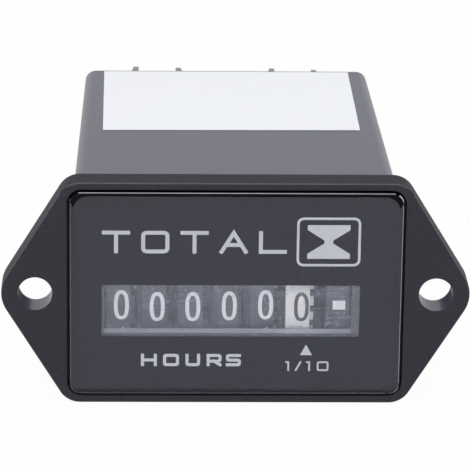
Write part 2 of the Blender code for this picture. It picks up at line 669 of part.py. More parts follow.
for post_x in (-board_post_x, board_post_x):
    post_at = (post_x, board_post_z)
    shoulder_from = frame_rear - FRAME_REAR_WALL / 2
    join(frame, rod(BOARD_SHOULDER_RADIUS, shoulder_from, board_front - SEAT_GAP, 'Y', post_at))
    join(frame, rod(BOARD_POST_RADIUS, frame_rear, board_rear + BOARD_POST_PROUD, 'Y', post_at))

# Shafts: plain steel rods held in the cheeks.
shaft_half = cheek_outer - SEAT_GAP / 2
piece("wheel_shaft", rod(WHEEL_SHAFT_RADIUS, -shaft_half, shaft_half, 'X', wheel_shaft_at), steel)
piece("pinion_shaft", rod(PINION_SHAFT_RADIUS, -shaft_half, shaft_half, 'X', pinion_shaft_at), steel)

# Number wheels: a rim with a band for ten digits and, on its right, a ring of twenty teeth.
wheel_bore = WHEEL_SHAFT_RADIUS + BORE_GAP
rim_inner = WHEEL_RADIUS - WHEEL_RIM_WALL
web_left = WHEEL_BAND - WHEEL_WEB
ring_left = WHEEL_BAND + RING_PROUD - RING_WIDTH
ring_right = WHEEL_BAND + RING_PROUD
drive_tooth_reach = DRUM_RADIUS + DRIVE_TOOTH_HEIGHT


def wheel_ring():
    """The ring of teeth, with a tooth that points at the pinion shaft."""
    depth = TRANSFER_TOOTH_RISE + RING_ROOT_RELIEF
    teeth = toothed(WHEEL_TEETH, WHEEL_MODULE, RING_TOOTH_RISE, depth, RING_SHARES, PINION_SHAFT_ANGLE)
    return extruded([teeth, circle(RING_INNER_RADIUS, SMALL_STEPS)], ring_left, ring_right)


def plain_wheel():
    """The first wheel, which drives no other."""
    profile = [
        (wheel_bore, 0), (WHEEL_HUB_RADIUS, 0), (WHEEL_HUB_RADIUS, web_left), (rim_inner, web_left),
        (rim_inner, 0), (WHEEL_RADIUS, 0), (WHEEL_RADIUS, WHEEL_BAND), (WHEEL_HUB_RADIUS, WHEEL_BAND),
        (WHEEL_HUB_RADIUS, ring_right), (wheel_bore, ring_right),
    ]
    return joined_mesh(turned(profile, WHEEL_STEPS), wheel_ring())


def driving_wheel():
    """A wheel with a locking drum on its left, whose two drive teeth step the pinion of the next wheel."""
    drum_inner = DRUM_RADIUS - DRUM_WALL
    profile = [
        (wheel_bore, -DRUM_PROUD), (WHEEL_HUB_RADIUS, -DRUM_PROUD), (WHEEL_HUB_RADIUS, web_left),
        (drum_inner, web_left), (drum_inner, -DRUM_PROUD), (DRUM_RADIUS, -DRUM_PROUD),
        (DRUM_RADIUS, web_left), (rim_inner, web_left), (rim_inner, 0), (WHEEL_RADIUS, 0),
        (WHEEL_RADIUS, WHEEL_BAND), (WHEEL_HUB_RADIUS, WHEEL_BAND), (WHEEL_HUB_RADIUS, ring_right),
        (wheel_bore, ring_right),
    ]
    solids = [turned(profile, WHEEL_STEPS), wheel_ring()]
    tooth_step = 2 * math.pi / WHEEL_TEETH
    for turn in (-tooth_step / 2, tooth_step / 2):
        tooth_y = (-DRIVE_TOOTH_WIDTH / 2, DRIVE_TOOTH_WIDTH / 2)
        tooth_x = (DRUM_RADIUS - DRUM_WALL / 2, drive_tooth_reach)
        tooth = block(tooth_x, tooth_y, (-DRUM_PROUD + SEAT_GAP / 2, 0))
        tooth.transform(Matrix.Rotation(turn, 4, 'Z'))
        solids.append(tooth)
    return joined_mesh(*solids)


driving_mesh = driving_wheel()
for index in range(WHEEL_COUNT):
    wheel_left = FIRST_WHEEL_LEFT + index * WHEEL_PITCH
    if index == 0:
        wheel_mesh = plain_wheel()
    elif index == WHEEL_COUNT - 1:
        wheel_mesh = driving_mesh.copy()
        wheel_mesh.materials.clear()
    else:
        wheel_mesh = driving_mesh
    wheel_finish = wheel_white if index == WHEEL_COUNT - 1 else wheel_black
    on_shaft(f"number_wheel_{index + 1}", wheel_mesh, wheel_finish, wheel_left, wheel_axis_y, wheel_axis_z)

# Transfer pinions: one between each two wheels, in mesh with the ring of the wheel on its left.
facing_wheel = PINION_SHAFT_ANGLE + math.pi
pinion_bore = circle(PINION_SHAFT_RADIUS + BORE_GAP, SMALL_STEPS)


def gap_towards(teeth, towards):
    """Where a gear's first tooth stands when a gap between two teeth looks towards its mate."""
    return towards + math.pi / teeth


transfer_outline = toothed(PINION_TEETH, WHEEL_MODULE, TRANSFER_TOOTH_RISE, RING_TOOTH_RISE, TRANSFER_SHARES,
                           gap_towards(PINION_TEETH, facing_wheel))
transfer_mesh = extruded([transfer_outline, pinion_bore], 0, PINION_WIDTH)
for index in range(WHEEL_COUNT - 1):
    name = f"transfer_pinion_{index + 1}"
    pinion_left = FIRST_WHEEL_LEFT + index * WHEEL_PITCH + WHEEL_BAND + PINION_START
    on_shaft(name, transfer_mesh, gear_plastic, pinion_left, pinion_axis_y, pinion_axis_z)

# Lay gear: takes the indicator wheel's turn down to the tenths wheel, both gears in one moulding.
lay_middle = LAY_PINION_WIDTH
lay_right = LAY_PINION_WIDTH + LAY_GEAR_WIDTH
lay_wheel_outline = gear_outline(
    LAY_TEETH, lay_module, GEAR_SHARES, gap_towards(LAY_TEETH, facing_wheel))
lay_wheel_mesh = extruded([lay_wheel_outline, pinion_bore], lay_middle, lay_right)
lay_pinion_mesh = extruded([transfer_outline, pinion_bore], 0, lay_right - LAY_GEAR_WIDTH / 2)
lay_mesh = joined_mesh(lay_wheel_mesh, lay_pinion_mesh)
on_shaft("lay_gear", lay_mesh, gear_plastic, lay_left, pinion_axis_y, pinion_axis_z)

# Indicator wheel: turns six times an hour's tenth, with a pinion on its left and a gear on its right.
indicator_hub_right = WHEEL_BAND + INDICATOR_GEAR_PROUD
indicator_profile = [
    (wheel_bore, -SEAT_GAP), (WHEEL_HUB_RADIUS, -SEAT_GAP), (WHEEL_HUB_RADIUS, web_left),
    (rim_inner, web_left), (rim_inner, 0), (WHEEL_RADIUS, 0), (WHEEL_RADIUS, WHEEL_BAND),
    (WHEEL_HUB_RADIUS, WHEEL_BAND), (WHEEL_HUB_RADIUS, indicator_hub_right),
    (wheel_bore, indicator_hub_right),
]
indicator_gear_outline = gear_outline(INDICATOR_TEETH, INDICATOR_MODULE, GEAR_SHARES, 0)
indicator_gear = extruded(
    [indicator_gear_outline, circle(INDICATOR_GEAR_INNER_RADIUS, SMALL_STEPS)],
    indicator_hub_right - INDICATOR_GEAR_WIDTH, indicator_hub_right,
)
indicator_pinion_outline = gear_outline(
    INDICATOR_PINION_TEETH, lay_module, PINION_SHARES, PINION_SHAFT_ANGLE)
indicator_pinion = extruded(
    [indicator_pinion_outline, circle(wheel_bore, WHEEL_STEPS)],
    -INDICATOR_PINION_LENGTH, web_left / 2,
)
indicator_mesh = joined_mesh(turned(indicator_profile, WHEEL_STEPS), indicator_gear, indicator_pinion)
on_shaft("indicator_wheel", indicator_mesh, wheel_black, INDICATOR_LEFT, wheel_axis_y, wheel_axis_z)

# Intermediate gear: runs on the frame's post between the indicator wheel and the motor.
post_bore = circle(POST_RADIUS + BORE_GAP, SMALL_STEPS)
intermediate_gear_from = intermediate_gear_left - intermediate_left
intermediate_gear_to = intermediate_gear_from + INTERMEDIATE_GEAR_WIDTH
intermediate_outline = gear_outline(INTERMEDIATE_TEETH, ROTOR_MODULE, GEAR_SHARES, 0)
intermediate_wheel = extruded([intermediate_outline, post_bore], intermediate_gear_from, intermediate_gear_to)
intermediate_pinion_outline = gear_outline(
    INTERMEDIATE_PINION_TEETH, INDICATOR_MODULE, PINION_SHARES,
    gap_towards(INTERMEDIATE_PINION_TEETH, math.pi))
intermediate_pinion = extruded(
    [intermediate_pinion_outline, post_bore], 0, intermediate_gear_from + INTERMEDIATE_GEAR_WIDTH / 2)
intermediate_mesh = joined_mesh(intermediate_wheel, intermediate_pinion)
on_shaft("intermediate_gear", intermediate_mesh, gear_plastic,
         intermediate_left, intermediate_axis_y, wheel_axis_z)

# Rotor: a round magnet and a small pinion on one spindle, between the motor wall and the right cheek.
spindle_from = motor_wall_left + MOTOR_WALL_THICKNESS / 4
spindle_to = cheek_outer - FRAME_CHEEK_THICKNESS / 4
magnet_from = magnet_middle - ROTOR_MAGNET_LENGTH / 2
magnet_to = magnet_middle + ROTOR_MAGNET_LENGTH / 2
rotor_pinion_middle = intermediate_left + (intermediate_gear_from + intermediate_gear_to) / 2
rotor_profile = [
    (0, spindle_to - spindle_from), (ROTOR_SPINDLE_RADIUS, spindle_to - spindle_from),
    (ROTOR_SPINDLE_RADIUS, magnet_to - spindle_from), (ROTOR_MAGNET_RADIUS, magnet_to - spindle_from),
    (ROTOR_MAGNET_RADIUS, magnet_from - spindle_from), (ROTOR_SPINDLE_RADIUS, magnet_from - spindle_from),
    (ROTOR_SPINDLE_RADIUS, 0), (0, 0),
]
rotor_body = turned(rotor_profile, SMALL_STEPS, closed=False)
rotor_pinion_outline = gear_outline(
    ROTOR_TEETH, ROTOR_MODULE, PINION_SHARES, gap_towards(ROTOR_TEETH, math.pi))
rotor_pinion = extruded(
    [rotor_pinion_outline],
    rotor_pinion_middle - ROTOR_PINION_LENGTH / 2 - spindle_from,
    rotor_pinion_middle + ROTOR_PINION_LENGTH / 2 - spindle_from,
)
rotor_mesh = joined_mesh(rotor_body, rotor_pinion)
on_shaft("rotor", rotor_mesh, magnet_grey, spindle_from, rotor_axis_y, wheel_axis_z)

# Stator: a U of punched steel beside the motor wall, with the rotor's hole in its foot.
stator_x = (stator_left, stator_left + STATOR_THICKNESS)
stator_z = (stator_bottom, stator_top)
stator_outer = block(stator_x, (STATOR_FRONT, STATOR_REAR), stator_z, STATOR_CORNER_RADIUS, 'X')
stator = piece("stator", stator_outer, silicon_steel)
stator_cut_x = (stator_x[0] - CUT_OVERRUN, stator_x[1] + CUT_OVERRUN)
stator_cut_y = (STATOR_FRONT + STATOR_LIMB_WIDTH, STATOR_REAR - STATOR_LIMB_WIDTH)
cut(stator, block(stator_cut_x, stator_cut_y, (stator_foot_top, stator_top + CUT_OVERRUN)))
magnet_hole = ROTOR_MAGNET_RADIUS + ROTOR_AIR_GAP
cut(stator, rod(magnet_hole, stator_cut_x[0], stator_cut_x[1], 'X', rotor_at, WHEEL_STEPS))

# Coil: a core bar across the stator's limbs, a bobbin round it and the winding on the bobbin.
core_x = (core_left, core_left + STATOR_THICKNESS)
core_z = (coil_middle_z - CORE_HEIGHT / 2, coil_middle_z + CORE_HEIGHT / 2)
piece("coil_core", block(core_x, (STATOR_FRONT, STATOR_REAR), core_z), silicon_steel)
bobbin_front = STATOR_FRONT + STATOR_LIMB_WIDTH + COIL_END_GAP
bobbin_rear = STATOR_REAR - STATOR_LIMB_WIDTH - COIL_END_GAP
coil_x = (coil_middle_x - COIL_WIDTH / 2, coil_middle_x + COIL_WIDTH / 2)
coil_z = (coil_middle_z - COIL_HEIGHT / 2, coil_middle_z + COIL_HEIGHT / 2)
tube_x = (core_x[0] - SEAT_GAP, core_x[1] + SEAT_GAP)
tube_z = (core_z[0] - SEAT_GAP, core_z[1] + SEAT_GAP)
neck_x = (tube_x[0] - BOBBIN_WALL, tube_x[1] + BOBBIN_WALL)
neck_z = (tube_z[0] - BOBBIN_WALL, tube_z[1] + BOBBIN_WALL)
bobbin = piece("coil_bobbin", block(neck_x, (bobbin_front, bobbin_rear), neck_z), gear_plastic)
join(bobbin, block(coil_x, (bobbin_front, bobbin_front + BOBBIN_WALL), coil_z, BOBBIN_WALL, 'Y', 2))
join(bobbin, block(coil_x, (bobbin_rear - BOBBIN_WALL, bobbin_rear), coil_z, BOBBIN_WALL, 'Y', 2))
cut(bobbin, block(tube_x, (bobbin_front - CUT_OVERRUN, bobbin_rear + CUT_OVERRUN), tube_z))
winding_y = (bobbin_front + BOBBIN_WALL + SEAT_GAP, bobbin_rear - BOBBIN_WALL - SEAT_GAP)
winding_x = (coil_x[0] + WINDING_INSET, coil_x[1] - WINDING_INSET)
winding_z = (coil_z[0] + WINDING_INSET, coil_z[1] - WINDING_INSET)
winding = piece("coil_winding", block(winding_x, winding_y, winding_z, WINDING_CORNER_RADIUS), copper)
cut(winding, block(
    (neck_x[0] - WINDING_GAP, neck_x[1] + WINDING_GAP),
    (winding_y[0] - CUT_OVERRUN, winding_y[1] + CUT_OVERRUN),
    (neck_z[0] - WINDING_GAP, neck_z[1] + WINDING_GAP)))


def wire(name, route, radius, material):
    """A thin wire along hand-chosen points, made a mesh with its caps welded."""
    curve = bpy.data.curves.new(name, 'CURVE')
    curve.dimensions = '3D'
    curve.bevel_depth = radius
    curve.bevel_resolution = 2
    curve.use_fill_caps = True
    spline = curve.splines.new('POLY')
    spline.points.add(len(route) - 1)
    for point, place in zip(spline.points, route):
        point.co = (*place, 1)
    drawn = tool(name, curve)
    mesh = evaluated_mesh(drawn)
    bpy.data.objects.remove(drawn)
    return piece(name, mesh, material)


# Leads: two enamelled wires from the coil's rear end to the board.
lead_top = coil_z[1] - BOBBIN_WALL - LEAD_RADIUS
lead_start = bobbin_rear + SEAT_GAP
lead_end = board_front - SEAT_GAP
lead_bend = (lead_start + lead_end) / 2
for side_name, lead_side in (("left", -1), ("right", 1)):
    lead_x = coil_middle_x + lead_side * COIL_WIDTH / 4
    route = [
        (lead_x, lead_start, lead_top), (lead_x, lead_bend, lead_top - SEAT_GAP),
        (lead_x, lead_end, lead_top),
    ]
    wire(f"coil_lead_{side_name}", route, LEAD_RADIUS, copper)

# Circuit board: stands across the case behind the frame, on two posts, parts on its rear face.
board_x = (-BOARD_WIDTH / 2, BOARD_WIDTH / 2)
board_z = (-board_half_height, board_half_height)
board = piece("circuit_board", block(board_x, (board_front, board_rear), board_z), board_green)
for post_x in (-board_post_x, board_post_x):
    post_hole = (board_front - CUT_OVERRUN, board_rear + CUT_OVERRUN)
    cut(board, rod(BOARD_POST_RADIUS + SEAT_GAP, post_hole[0], post_hole[1], 'Y', (post_x, board_post_z)))
parts_front = board_rear + SEAT_GAP
capacitor_at = (CAPACITOR_X, CAPACITOR_Z)
capacitor_mesh = rod(CAPACITOR_RADIUS, parts_front, parts_front + CAPACITOR_LENGTH, 'Y', capacitor_at)
piece("capacitor", capacitor_mesh, sleeve_blue)
crystal_x = (CRYSTAL_X - CRYSTAL_LENGTH / 2, CRYSTAL_X + CRYSTAL_LENGTH / 2)
crystal_at = (parts_front + CRYSTAL_RADIUS, CRYSTAL_Z)
crystal_mesh = rod(CRYSTAL_RADIUS, crystal_x[0], crystal_x[1], 'X', crystal_at)
piece("quartz_crystal", crystal_mesh, steel)
chip_x = (CHIP_X - CHIP_WIDTH / 2, CHIP_X + CHIP_WIDTH / 2)
chip_z = (CHIP_Z - CHIP_HEIGHT / 2, CHIP_Z + CHIP_HEIGHT / 2)
piece("clock_chip", block(chip_x, (parts_front, parts_front + CHIP_DEPTH), chip_z), part_black)
rectifier_x = (-RECTIFIER_WIDTH / 2, RECTIFIER_WIDTH / 2)
rectifier_z = (RECTIFIER_Z - RECTIFIER_HEIGHT / 2, RECTIFIER_Z + RECTIFIER_HEIGHT / 2)
piece("rectifier", block(rectifier_x, (parts_front, parts_front + RECTIFIER_DEPTH), rectifier_z), part_black)
resistor_x = (-RESISTOR_LENGTH / 2, RESISTOR_LENGTH / 2)
resistor_at = (parts_front + RESISTOR_RADIUS, RESISTOR_Z)
resistor_mesh = rod(RESISTOR_RADIUS, resistor_x[0], resistor_x[1], 'X', resistor_at)
piece("resistor", resistor_mesh, resistor_tan)

# Terminals: a brass insert through the rear wall, a saddle clamp and its screw, twice over.
insert_from = boss_front - INSERT_INNER_PROUD
collar_from = case_rear + SEAT_GAP
clamp_from = collar_from + INSERT_COLLAR + SEAT_GAP
clamp_plate_back = clamp_from + CLAMP_PLATE
head_from = clamp_plate_back + SEAT_GAP
head_to = head_from + SCREW_HEAD_HEIGHT
screw_tip = head_from - SCREW_LENGTH
strap_rear = insert_from - SEAT_GAP


def insert_mesh(at):
    """A brass insert with a collar outside, bored for the screw."""
    bore = SCREW_RADIUS + SEAT_GAP
    length = collar_from - insert_from
    profile = [
        (bore, 0), (INSERT_RADIUS, 0), (INSERT_RADIUS, length), (INSERT_COLLAR_RADIUS, length),
        (INSERT_COLLAR_RADIUS, length + INSERT_COLLAR), (bore, length + INSERT_COLLAR),
    ]
    mesh = facing_front(turned(profile, SMALL_STEPS))
    mesh.transform(Matrix.Translation((at[0], insert_from, at[1])))
    return mesh


def clamp_outline():
    """The clamp seen along its ears: a plate with two ears whose outer sides lean in."""
    half = CLAMP_SIZE / 2
    inner = half - CLAMP_EAR_WIDTH
    ear_top = CLAMP_PLATE + CLAMP_EAR_HEIGHT
    right = [(half, 0), (half - CLAMP_EAR_SLOPE, ear_top), (inner, ear_top), (inner, CLAMP_PLATE)]
    left = [(-x, y) for x, y in reversed(right)]
    return right + left


def clamp_mesh(turn, at):
    """The outline extruded upright, bored for the screw, turned a little and set behind the collar."""
    mesh = extruded([clamp_outline()], -CLAMP_SIZE / 2, CLAMP_SIZE / 2)
    body = tool("clamp_body", mesh)
    hole = SCREW_RADIUS + SEAT_GAP
    cut(body, rod(hole, -CUT_OVERRUN, CLAMP_PLATE + CUT_OVERRUN, 'Y', (0, 0), SMALL_STEPS))
    result = evaluated_mesh(body)
    bpy.data.objects.remove(body.modifiers[0].object)
    bpy.data.objects.remove(body)
    result.transform(Matrix.Translation((at[0], clamp_from, at[1])) @ Matrix.Rotation(turn, 4, 'Y'))
    return result


def strap_outline():
    """The strap seen from the side: from the insert's end forward to the board, then down."""
    top = terminal_z + INSERT_RADIUS - SEAT_GAP
    bend = terminal_z - INSERT_RADIUS
    front = board_rear + SEAT_GAP
    inner_rear_face = strap_rear - STRAP_THICKNESS
    return [
        (strap_rear, top), (inner_rear_face, top), (inner_rear_face, bend),
        (front + STRAP_THICKNESS, bend), (front + STRAP_THICKNESS, bend + STRAP_TAIL),
        (front, bend + STRAP_TAIL), (front, bend - STRAP_THICKNESS), (strap_rear, bend - STRAP_THICKNESS),
    ]


def strap_mesh(middle_x):
    """The side outline extruded across, then stood up into the part's frame."""
    mesh = extruded([strap_outline()], -STRAP_WIDTH / 2, STRAP_WIDTH / 2)
    mesh.transform(Matrix.Translation((middle_x, 0, 0)) @ OUTLINE_TO_SIDE)
    return mesh


terminals = (("left", TERMINAL_LEFT_X, CLAMP_TURN_LEFT), ("right", TERMINAL_RIGHT_X, CLAMP_TURN_RIGHT))
for side_name, terminal_x, clamp_turn in terminals:
    at = (terminal_x, terminal_z)
    piece(f"terminal_insert_{side_name}", insert_mesh(at), brass)
    piece(f"terminal_clamp_{side_name}", clamp_mesh(clamp_turn, at), steel)
    screw_mesh = rod(SCREW_HEAD_RADIUS, head_from, head_to, 'Y', at, SMALL_STEPS)
    screw = piece(f"terminal_screw_{side_name}", screw_mesh, steel)
    join(screw, rod(SCREW_RADIUS, screw_tip, head_from + SCREW_HEAD_HEIGHT / 2, 'Y', at, SMALL_STEPS))
    slot_x = (terminal_x - SCREW_HEAD_RADIUS - CUT_OVERRUN, terminal_x + SCREW_HEAD_RADIUS + CUT_OVERRUN)
    slot_y = (head_to - SCREW_SLOT_DEPTH, head_to + CUT_OVERRUN)
    slot_z = (terminal_z - SCREW_SLOT_WIDTH / 2, terminal_z + SCREW_SLOT_WIDTH / 2)
    cut(screw, block(slot_x, slot_y, slot_z))
    piece(f"contact_strap_{side_name}", strap_mesh(terminal_x), brass)

# Label: a thin blank sticker on top, lying along the case's draft.
label_half = LABEL_WIDTH / 2
label_mesh = block((-label_half, label_half), (0, LABEL_LENGTH), (LABEL_GLUE, LABEL_GLUE + LABEL_THICKNESS))
label_height = case_half_height - narrowing(LABEL_FROM_FLANGE)
label_place = Matrix.Translation((0, flange_back + LABEL_FROM_FLANGE, label_height))
label_mesh.transform(label_place @ Matrix.Rotation(-CASE_DRAFT, 4, 'X'))
piece("label", label_mesh, label_paper)

for part in pieces.objects:
    part.data.shade_smooth()
    part.data.set_sharp_from_angle(angle=math.radians(30))
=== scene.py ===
"""Looks of a panel hour meter: number wheels and a run indicator behind a clear lens, in a black case."""
import math

import bmesh
import bpy
from mathutils import Matrix, Vector


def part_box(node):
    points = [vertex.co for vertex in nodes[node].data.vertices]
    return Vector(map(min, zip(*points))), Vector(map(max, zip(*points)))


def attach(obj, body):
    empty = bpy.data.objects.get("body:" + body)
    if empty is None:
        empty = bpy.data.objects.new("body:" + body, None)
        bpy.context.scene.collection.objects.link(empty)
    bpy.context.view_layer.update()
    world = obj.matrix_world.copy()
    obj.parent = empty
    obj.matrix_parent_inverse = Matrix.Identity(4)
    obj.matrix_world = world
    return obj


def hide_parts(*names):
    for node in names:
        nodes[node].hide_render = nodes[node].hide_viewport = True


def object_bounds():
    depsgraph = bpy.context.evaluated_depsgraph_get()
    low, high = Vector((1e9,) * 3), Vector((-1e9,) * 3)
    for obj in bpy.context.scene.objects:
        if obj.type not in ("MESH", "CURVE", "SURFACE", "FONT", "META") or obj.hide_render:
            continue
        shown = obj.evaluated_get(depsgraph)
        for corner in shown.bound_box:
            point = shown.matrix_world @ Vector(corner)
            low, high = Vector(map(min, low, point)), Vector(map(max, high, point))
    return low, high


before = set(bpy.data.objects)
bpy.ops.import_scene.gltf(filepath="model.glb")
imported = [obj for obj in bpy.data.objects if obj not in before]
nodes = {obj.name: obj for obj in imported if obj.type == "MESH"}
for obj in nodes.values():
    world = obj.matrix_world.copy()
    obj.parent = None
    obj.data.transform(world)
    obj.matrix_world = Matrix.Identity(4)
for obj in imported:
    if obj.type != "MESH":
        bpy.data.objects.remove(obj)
cad_low, cad_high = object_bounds()

# Camera and table.
# The meter was shot from a little above its front and slightly to its left, from far off, so its
# edges run almost parallel. It stands on a white table under broad soft light.
MM = 0.001
CAMERA_PLACE = (-12.75 * MM, -410.2 * MM, 150.0 * MM)
CAMERA_YAW = math.radians(1.75)
CAMERA_DROP = math.radians(19.08)
CAMERA_ROLL = math.radians(-0.77)
CAMERA_LENS = 264.56
CAMERA_SENSOR = 36
CAMERA_CLIP = (0.01, 20)
TABLE_SIZE = 3.0
TABLE_GAP = 0.02 * MM
TABLE_WHITE = 0.9
TABLE_GLOW = 0.96


def srgb(hex_colour, alpha=1.0):
    """An sRGB hex colour as linear red, green, blue and alpha."""
    parts = [int(hex_colour[i:i + 2], 16) / 255 for i in (0, 2, 4)]
    return (*[c / 12.92 if c <= 0.04045 else ((c + 0.055) / 1.055) ** 2.4 for c in parts], alpha)


def add_node(tree, kind, settings=None, links=None):
    """One shader node with its settings, its socket values and the sockets that feed it."""
    made = tree.nodes.new(kind)
    for name, value in (settings or {}).items():
        if name in made.inputs:
            made.inputs[name].default_value = value
        else:
            setattr(made, name, value)
    for name, source in (links or {}).items():
        tree.links.new(source, made.inputs[name])
    return made


forward = Vector((
    math.sin(CAMERA_YAW) * math.cos(CAMERA_DROP),
    math.cos(CAMERA_YAW) * math.cos(CAMERA_DROP),
    -math.sin(CAMERA_DROP),
))
level_right = forward.cross(Vector((0, 0, 1))).normalized()
level_up = level_right.cross(forward)
right = level_right * math.cos(CAMERA_ROLL) - level_up * math.sin(CAMERA_ROLL)
up = right.cross(forward)
camera_data = bpy.data.cameras.new("camera")
camera_data.lens = CAMERA_LENS
camera_data.sensor_width = CAMERA_SENSOR
camera_data.clip_start, camera_data.clip_end = CAMERA_CLIP
camera = bpy.data.objects.new("camera", camera_data)
turn = Matrix((right, up, -forward)).transposed().to_4x4()
camera.matrix_world = Matrix.Translation(CAMERA_PLACE) @ turn
bpy.context.scene.collection.objects.link(camera)
bpy.context.scene.camera = camera
bpy.context.scene.view_settings.view_transform = "Standard"

table_mesh = bpy.data.meshes.new("table")
bm = bmesh.new()
bmesh.ops.create_grid(bm, x_segments=1, y_segments=1, size=TABLE_SIZE / 2)
bmesh.ops.translate(bm, vec=(0, 0, cad_low.z - TABLE_GAP), verts=bm.verts)
bm.to_mesh(table_mesh)
bm.free()
table = bpy.data.objects.new("table", table_mesh)
bpy.context.scene.collection.objects.link(table)


def seen_directly(tree):
    """One for rays from the camera, and for those that glass passes or a glossy face mirrors."""
    rays = add_node(tree, "ShaderNodeLightPath")
    direct = add_node(tree, "ShaderNodeMath", {"operation": "MAXIMUM"})
    tree.links.new(rays.outputs["Is Camera Ray"], direct.inputs[0])
    tree.links.new(rays.outputs["Is Transmission Ray"], direct.inputs[1])
    any_of_them = add_node(tree, "ShaderNodeMath", {"operation": "MAXIMUM"})
    tree.links.new(direct.outputs[0], any_of_them.inputs[0])
    tree.links.new(rays.outputs["Is Glossy Ray"], any_of_them.inputs[1])
    return any_of_them.outputs[0]


# Matt white paper, which shows as white beyond the object and still takes its shadow.
white = bpy.data.materials.new("white_table")
white.use_nodes = True
tree = white.node_tree
tree.nodes.clear()
share = add_node(tree, "ShaderNodeMath", {"operation": "MULTIPLY"})
tree.links.new(seen_directly(tree), share.inputs[0])
share.inputs[1].default_value = TABLE_GLOW
paper = add_node(tree, "ShaderNodeBsdfDiffuse", {"Color": (TABLE_WHITE, TABLE_WHITE, TABLE_WHITE, 1)})
glow = add_node(tree, "ShaderNodeEmission", {"Color": (1, 1, 1, 1), "Strength": 1.0})
mixed = add_node(tree, "ShaderNodeMixShader", links={"Fac": share.outputs[0]})
tree.links.new(paper.outputs[0], mixed.inputs[1])
tree.links.new(glow.outputs[0], mixed.inputs[2])
add_node(tree, "ShaderNodeOutputMaterial", links={"Surface": mixed.outputs[0]})
table.data.materials.append(white)

WORLD_LEVEL = 0.5
world = bpy.data.worlds.new("studio")
world.use_nodes = True
tree = world.node_tree
white_room = tree.nodes["Background"]
white_room.inputs["Color"].default_value = (1.0, 1.0, 1.0, 1)
level = add_node(tree, "ShaderNodeMapRange", {"To Min": WORLD_LEVEL, "To Max": 1.0},
                 {"Value": seen_directly(tree)})
tree.links.new(level.outputs["Result"], white_room.inputs["Strength"])
bpy.context.scene.world = world


def soft_light(name, place, aim, width, depth, power):
    """A rectangular soft light at a place, turned to look at a point."""
    data = bpy.data.lights.new(name, "AREA")
    data.shape = "RECTANGLE"
    data.size = width
    data.size_y = depth
    data.energy = power
    lamp = bpy.data.objects.new(name, data)
    lamp.location = place
    lamp.rotation_euler = (Vector(aim) - Vector(place)).to_track_quat("-Z", "Y").to_euler()
    bpy.context.scene.collection.objects.link(lamp)


soft_light("front_key", (-0.15, -0.75, 0.5), aim=(0, 0, 0), width=1.0, depth=0.8, power=6.2)
soft_light("overhead", (0.1, 0.1, 0.9), aim=(0, 0, 0), width=0.7, depth=0.7, power=2.0)

# Movement frame, shafts, gears, motor and board.
# A dark grey moulding holds everything that turns. The gears are natural acetal, the shafts ground steel,
# the motor's stator punched sheet, and the board green glass epoxy.
ACETAL = "d8d3bf"
FRAME_GREY = "3c3c43"
# A lighter grey painted on the frame's faces that look up, as painted light from above, and the range of
# upward facing over which it comes in.
TOP_LIGHT_GREY = "c6c7d1"
TOP_LIGHT_FACING = (0.5, 0.9)
GEAR_GRAIN = 0.8 * MM
LINE_LENGTH = 16 * MM
LINE_DARK = 0.86
LINE_ROUGHNESS = (0.8, 1.25)
LINE_DEPTH = 0.004 * MM


def moulded(name, hex_colour, roughness, grain, grain_depth, tone=0.06, coarse=6.0, gloss=0.5):
    """A moulded plastic: slight cloudiness in its colour and a fine grain in its surface."""
    material = bpy.data.materials.new(name)
    material.use_nodes = True
    tree = material.node_tree
    shader = tree.nodes["Principled BSDF"]
    shader.inputs["Specular IOR Level"].default_value = gloss
    shader.inputs["Roughness"].default_value = roughness
    place = add_node(tree, "ShaderNodeTexCoord")
    cloud = add_node(tree, "ShaderNodeTexNoise", {"Scale": 1 / (coarse * MM), "Detail": 3.0},
                     {"Vector": place.outputs["Object"]})
    base = srgb(hex_colour)
    darker = tuple(c * (1 - tone) for c in base[:3]) + (1,)
    lighter = tuple(min(1, c * (1 + tone)) for c in base[:3]) + (1,)
    colour = add_node(tree, "ShaderNodeMix", {"data_type": "RGBA"})
    tree.links.new(cloud.outputs["Fac"], colour.inputs[0])
    colour.inputs[6].default_value = darker
    colour.inputs[7].default_value = lighter
    tree.links.new(colour.outputs[2], shader.inputs["Base Color"])
    fine = add_node(tree, "ShaderNodeTexNoise", {"Scale": 1 / grain, "Detail": 2.0},
                    {"Vector": place.outputs["Object"]})
    bump = add_node(tree, "ShaderNodeBump", {"Strength": 1.0, "Distance": grain_depth},
                    {"Height": fine.outputs["Fac"]})
    tree.links.new(bump.outputs["Normal"], shader.inputs["Normal"])
    return material


def metal(name, hex_colour, roughness, streak, along):
    """A bare metal with fine drawn or rolled lines along one axis."""
    material = bpy.data.materials.new(name)
    material.use_nodes = True
    tree = material.node_tree
    shader = tree.nodes["Principled BSDF"]
    shader.inputs["Metallic"].default_value = 1.0
    place = add_node(tree, "ShaderNodeTexCoord")
    stretch = [1 / streak] * 3
    stretch["XYZ".index(along)] = 1 / LINE_LENGTH
    lines = add_node(tree, "ShaderNodeMapping", {"Scale": stretch}, {"Vector": place.outputs["Object"]})
    noise = add_node(tree, "ShaderNodeTexNoise", {"Scale": 1.0, "Detail": 3.0},
                     {"Vector": lines.outputs["Vector"]})
    base = srgb(hex_colour)
    colour = add_node(tree, "ShaderNodeMix", {"data_type": "RGBA"})
    tree.links.new(noise.outputs["Fac"], colour.inputs[0])
    colour.inputs[6].default_value = tuple(c * LINE_DARK for c in base[:3]) + (1,)
    colour.inputs[7].default_value = base
    tree.links.new(colour.outputs[2], shader.inputs["Base Color"])
    smoothest, roughest = (roughness * share for share in LINE_ROUGHNESS)
    rough = add_node(tree, "ShaderNodeMapRange", {"To Min": smoothest, "To Max": roughest},
                     {"Value": noise.outputs["Fac"]})
    tree.links.new(rough.outputs["Result"], shader.inputs["Roughness"])
    bump = add_node(tree, "ShaderNodeBump", {"Strength": 0.6, "Distance": LINE_DEPTH},
                    {"Height": noise.outputs["Fac"]})
    tree.links.new(bump.outputs["Normal"], shader.inputs["Normal"])
    return material


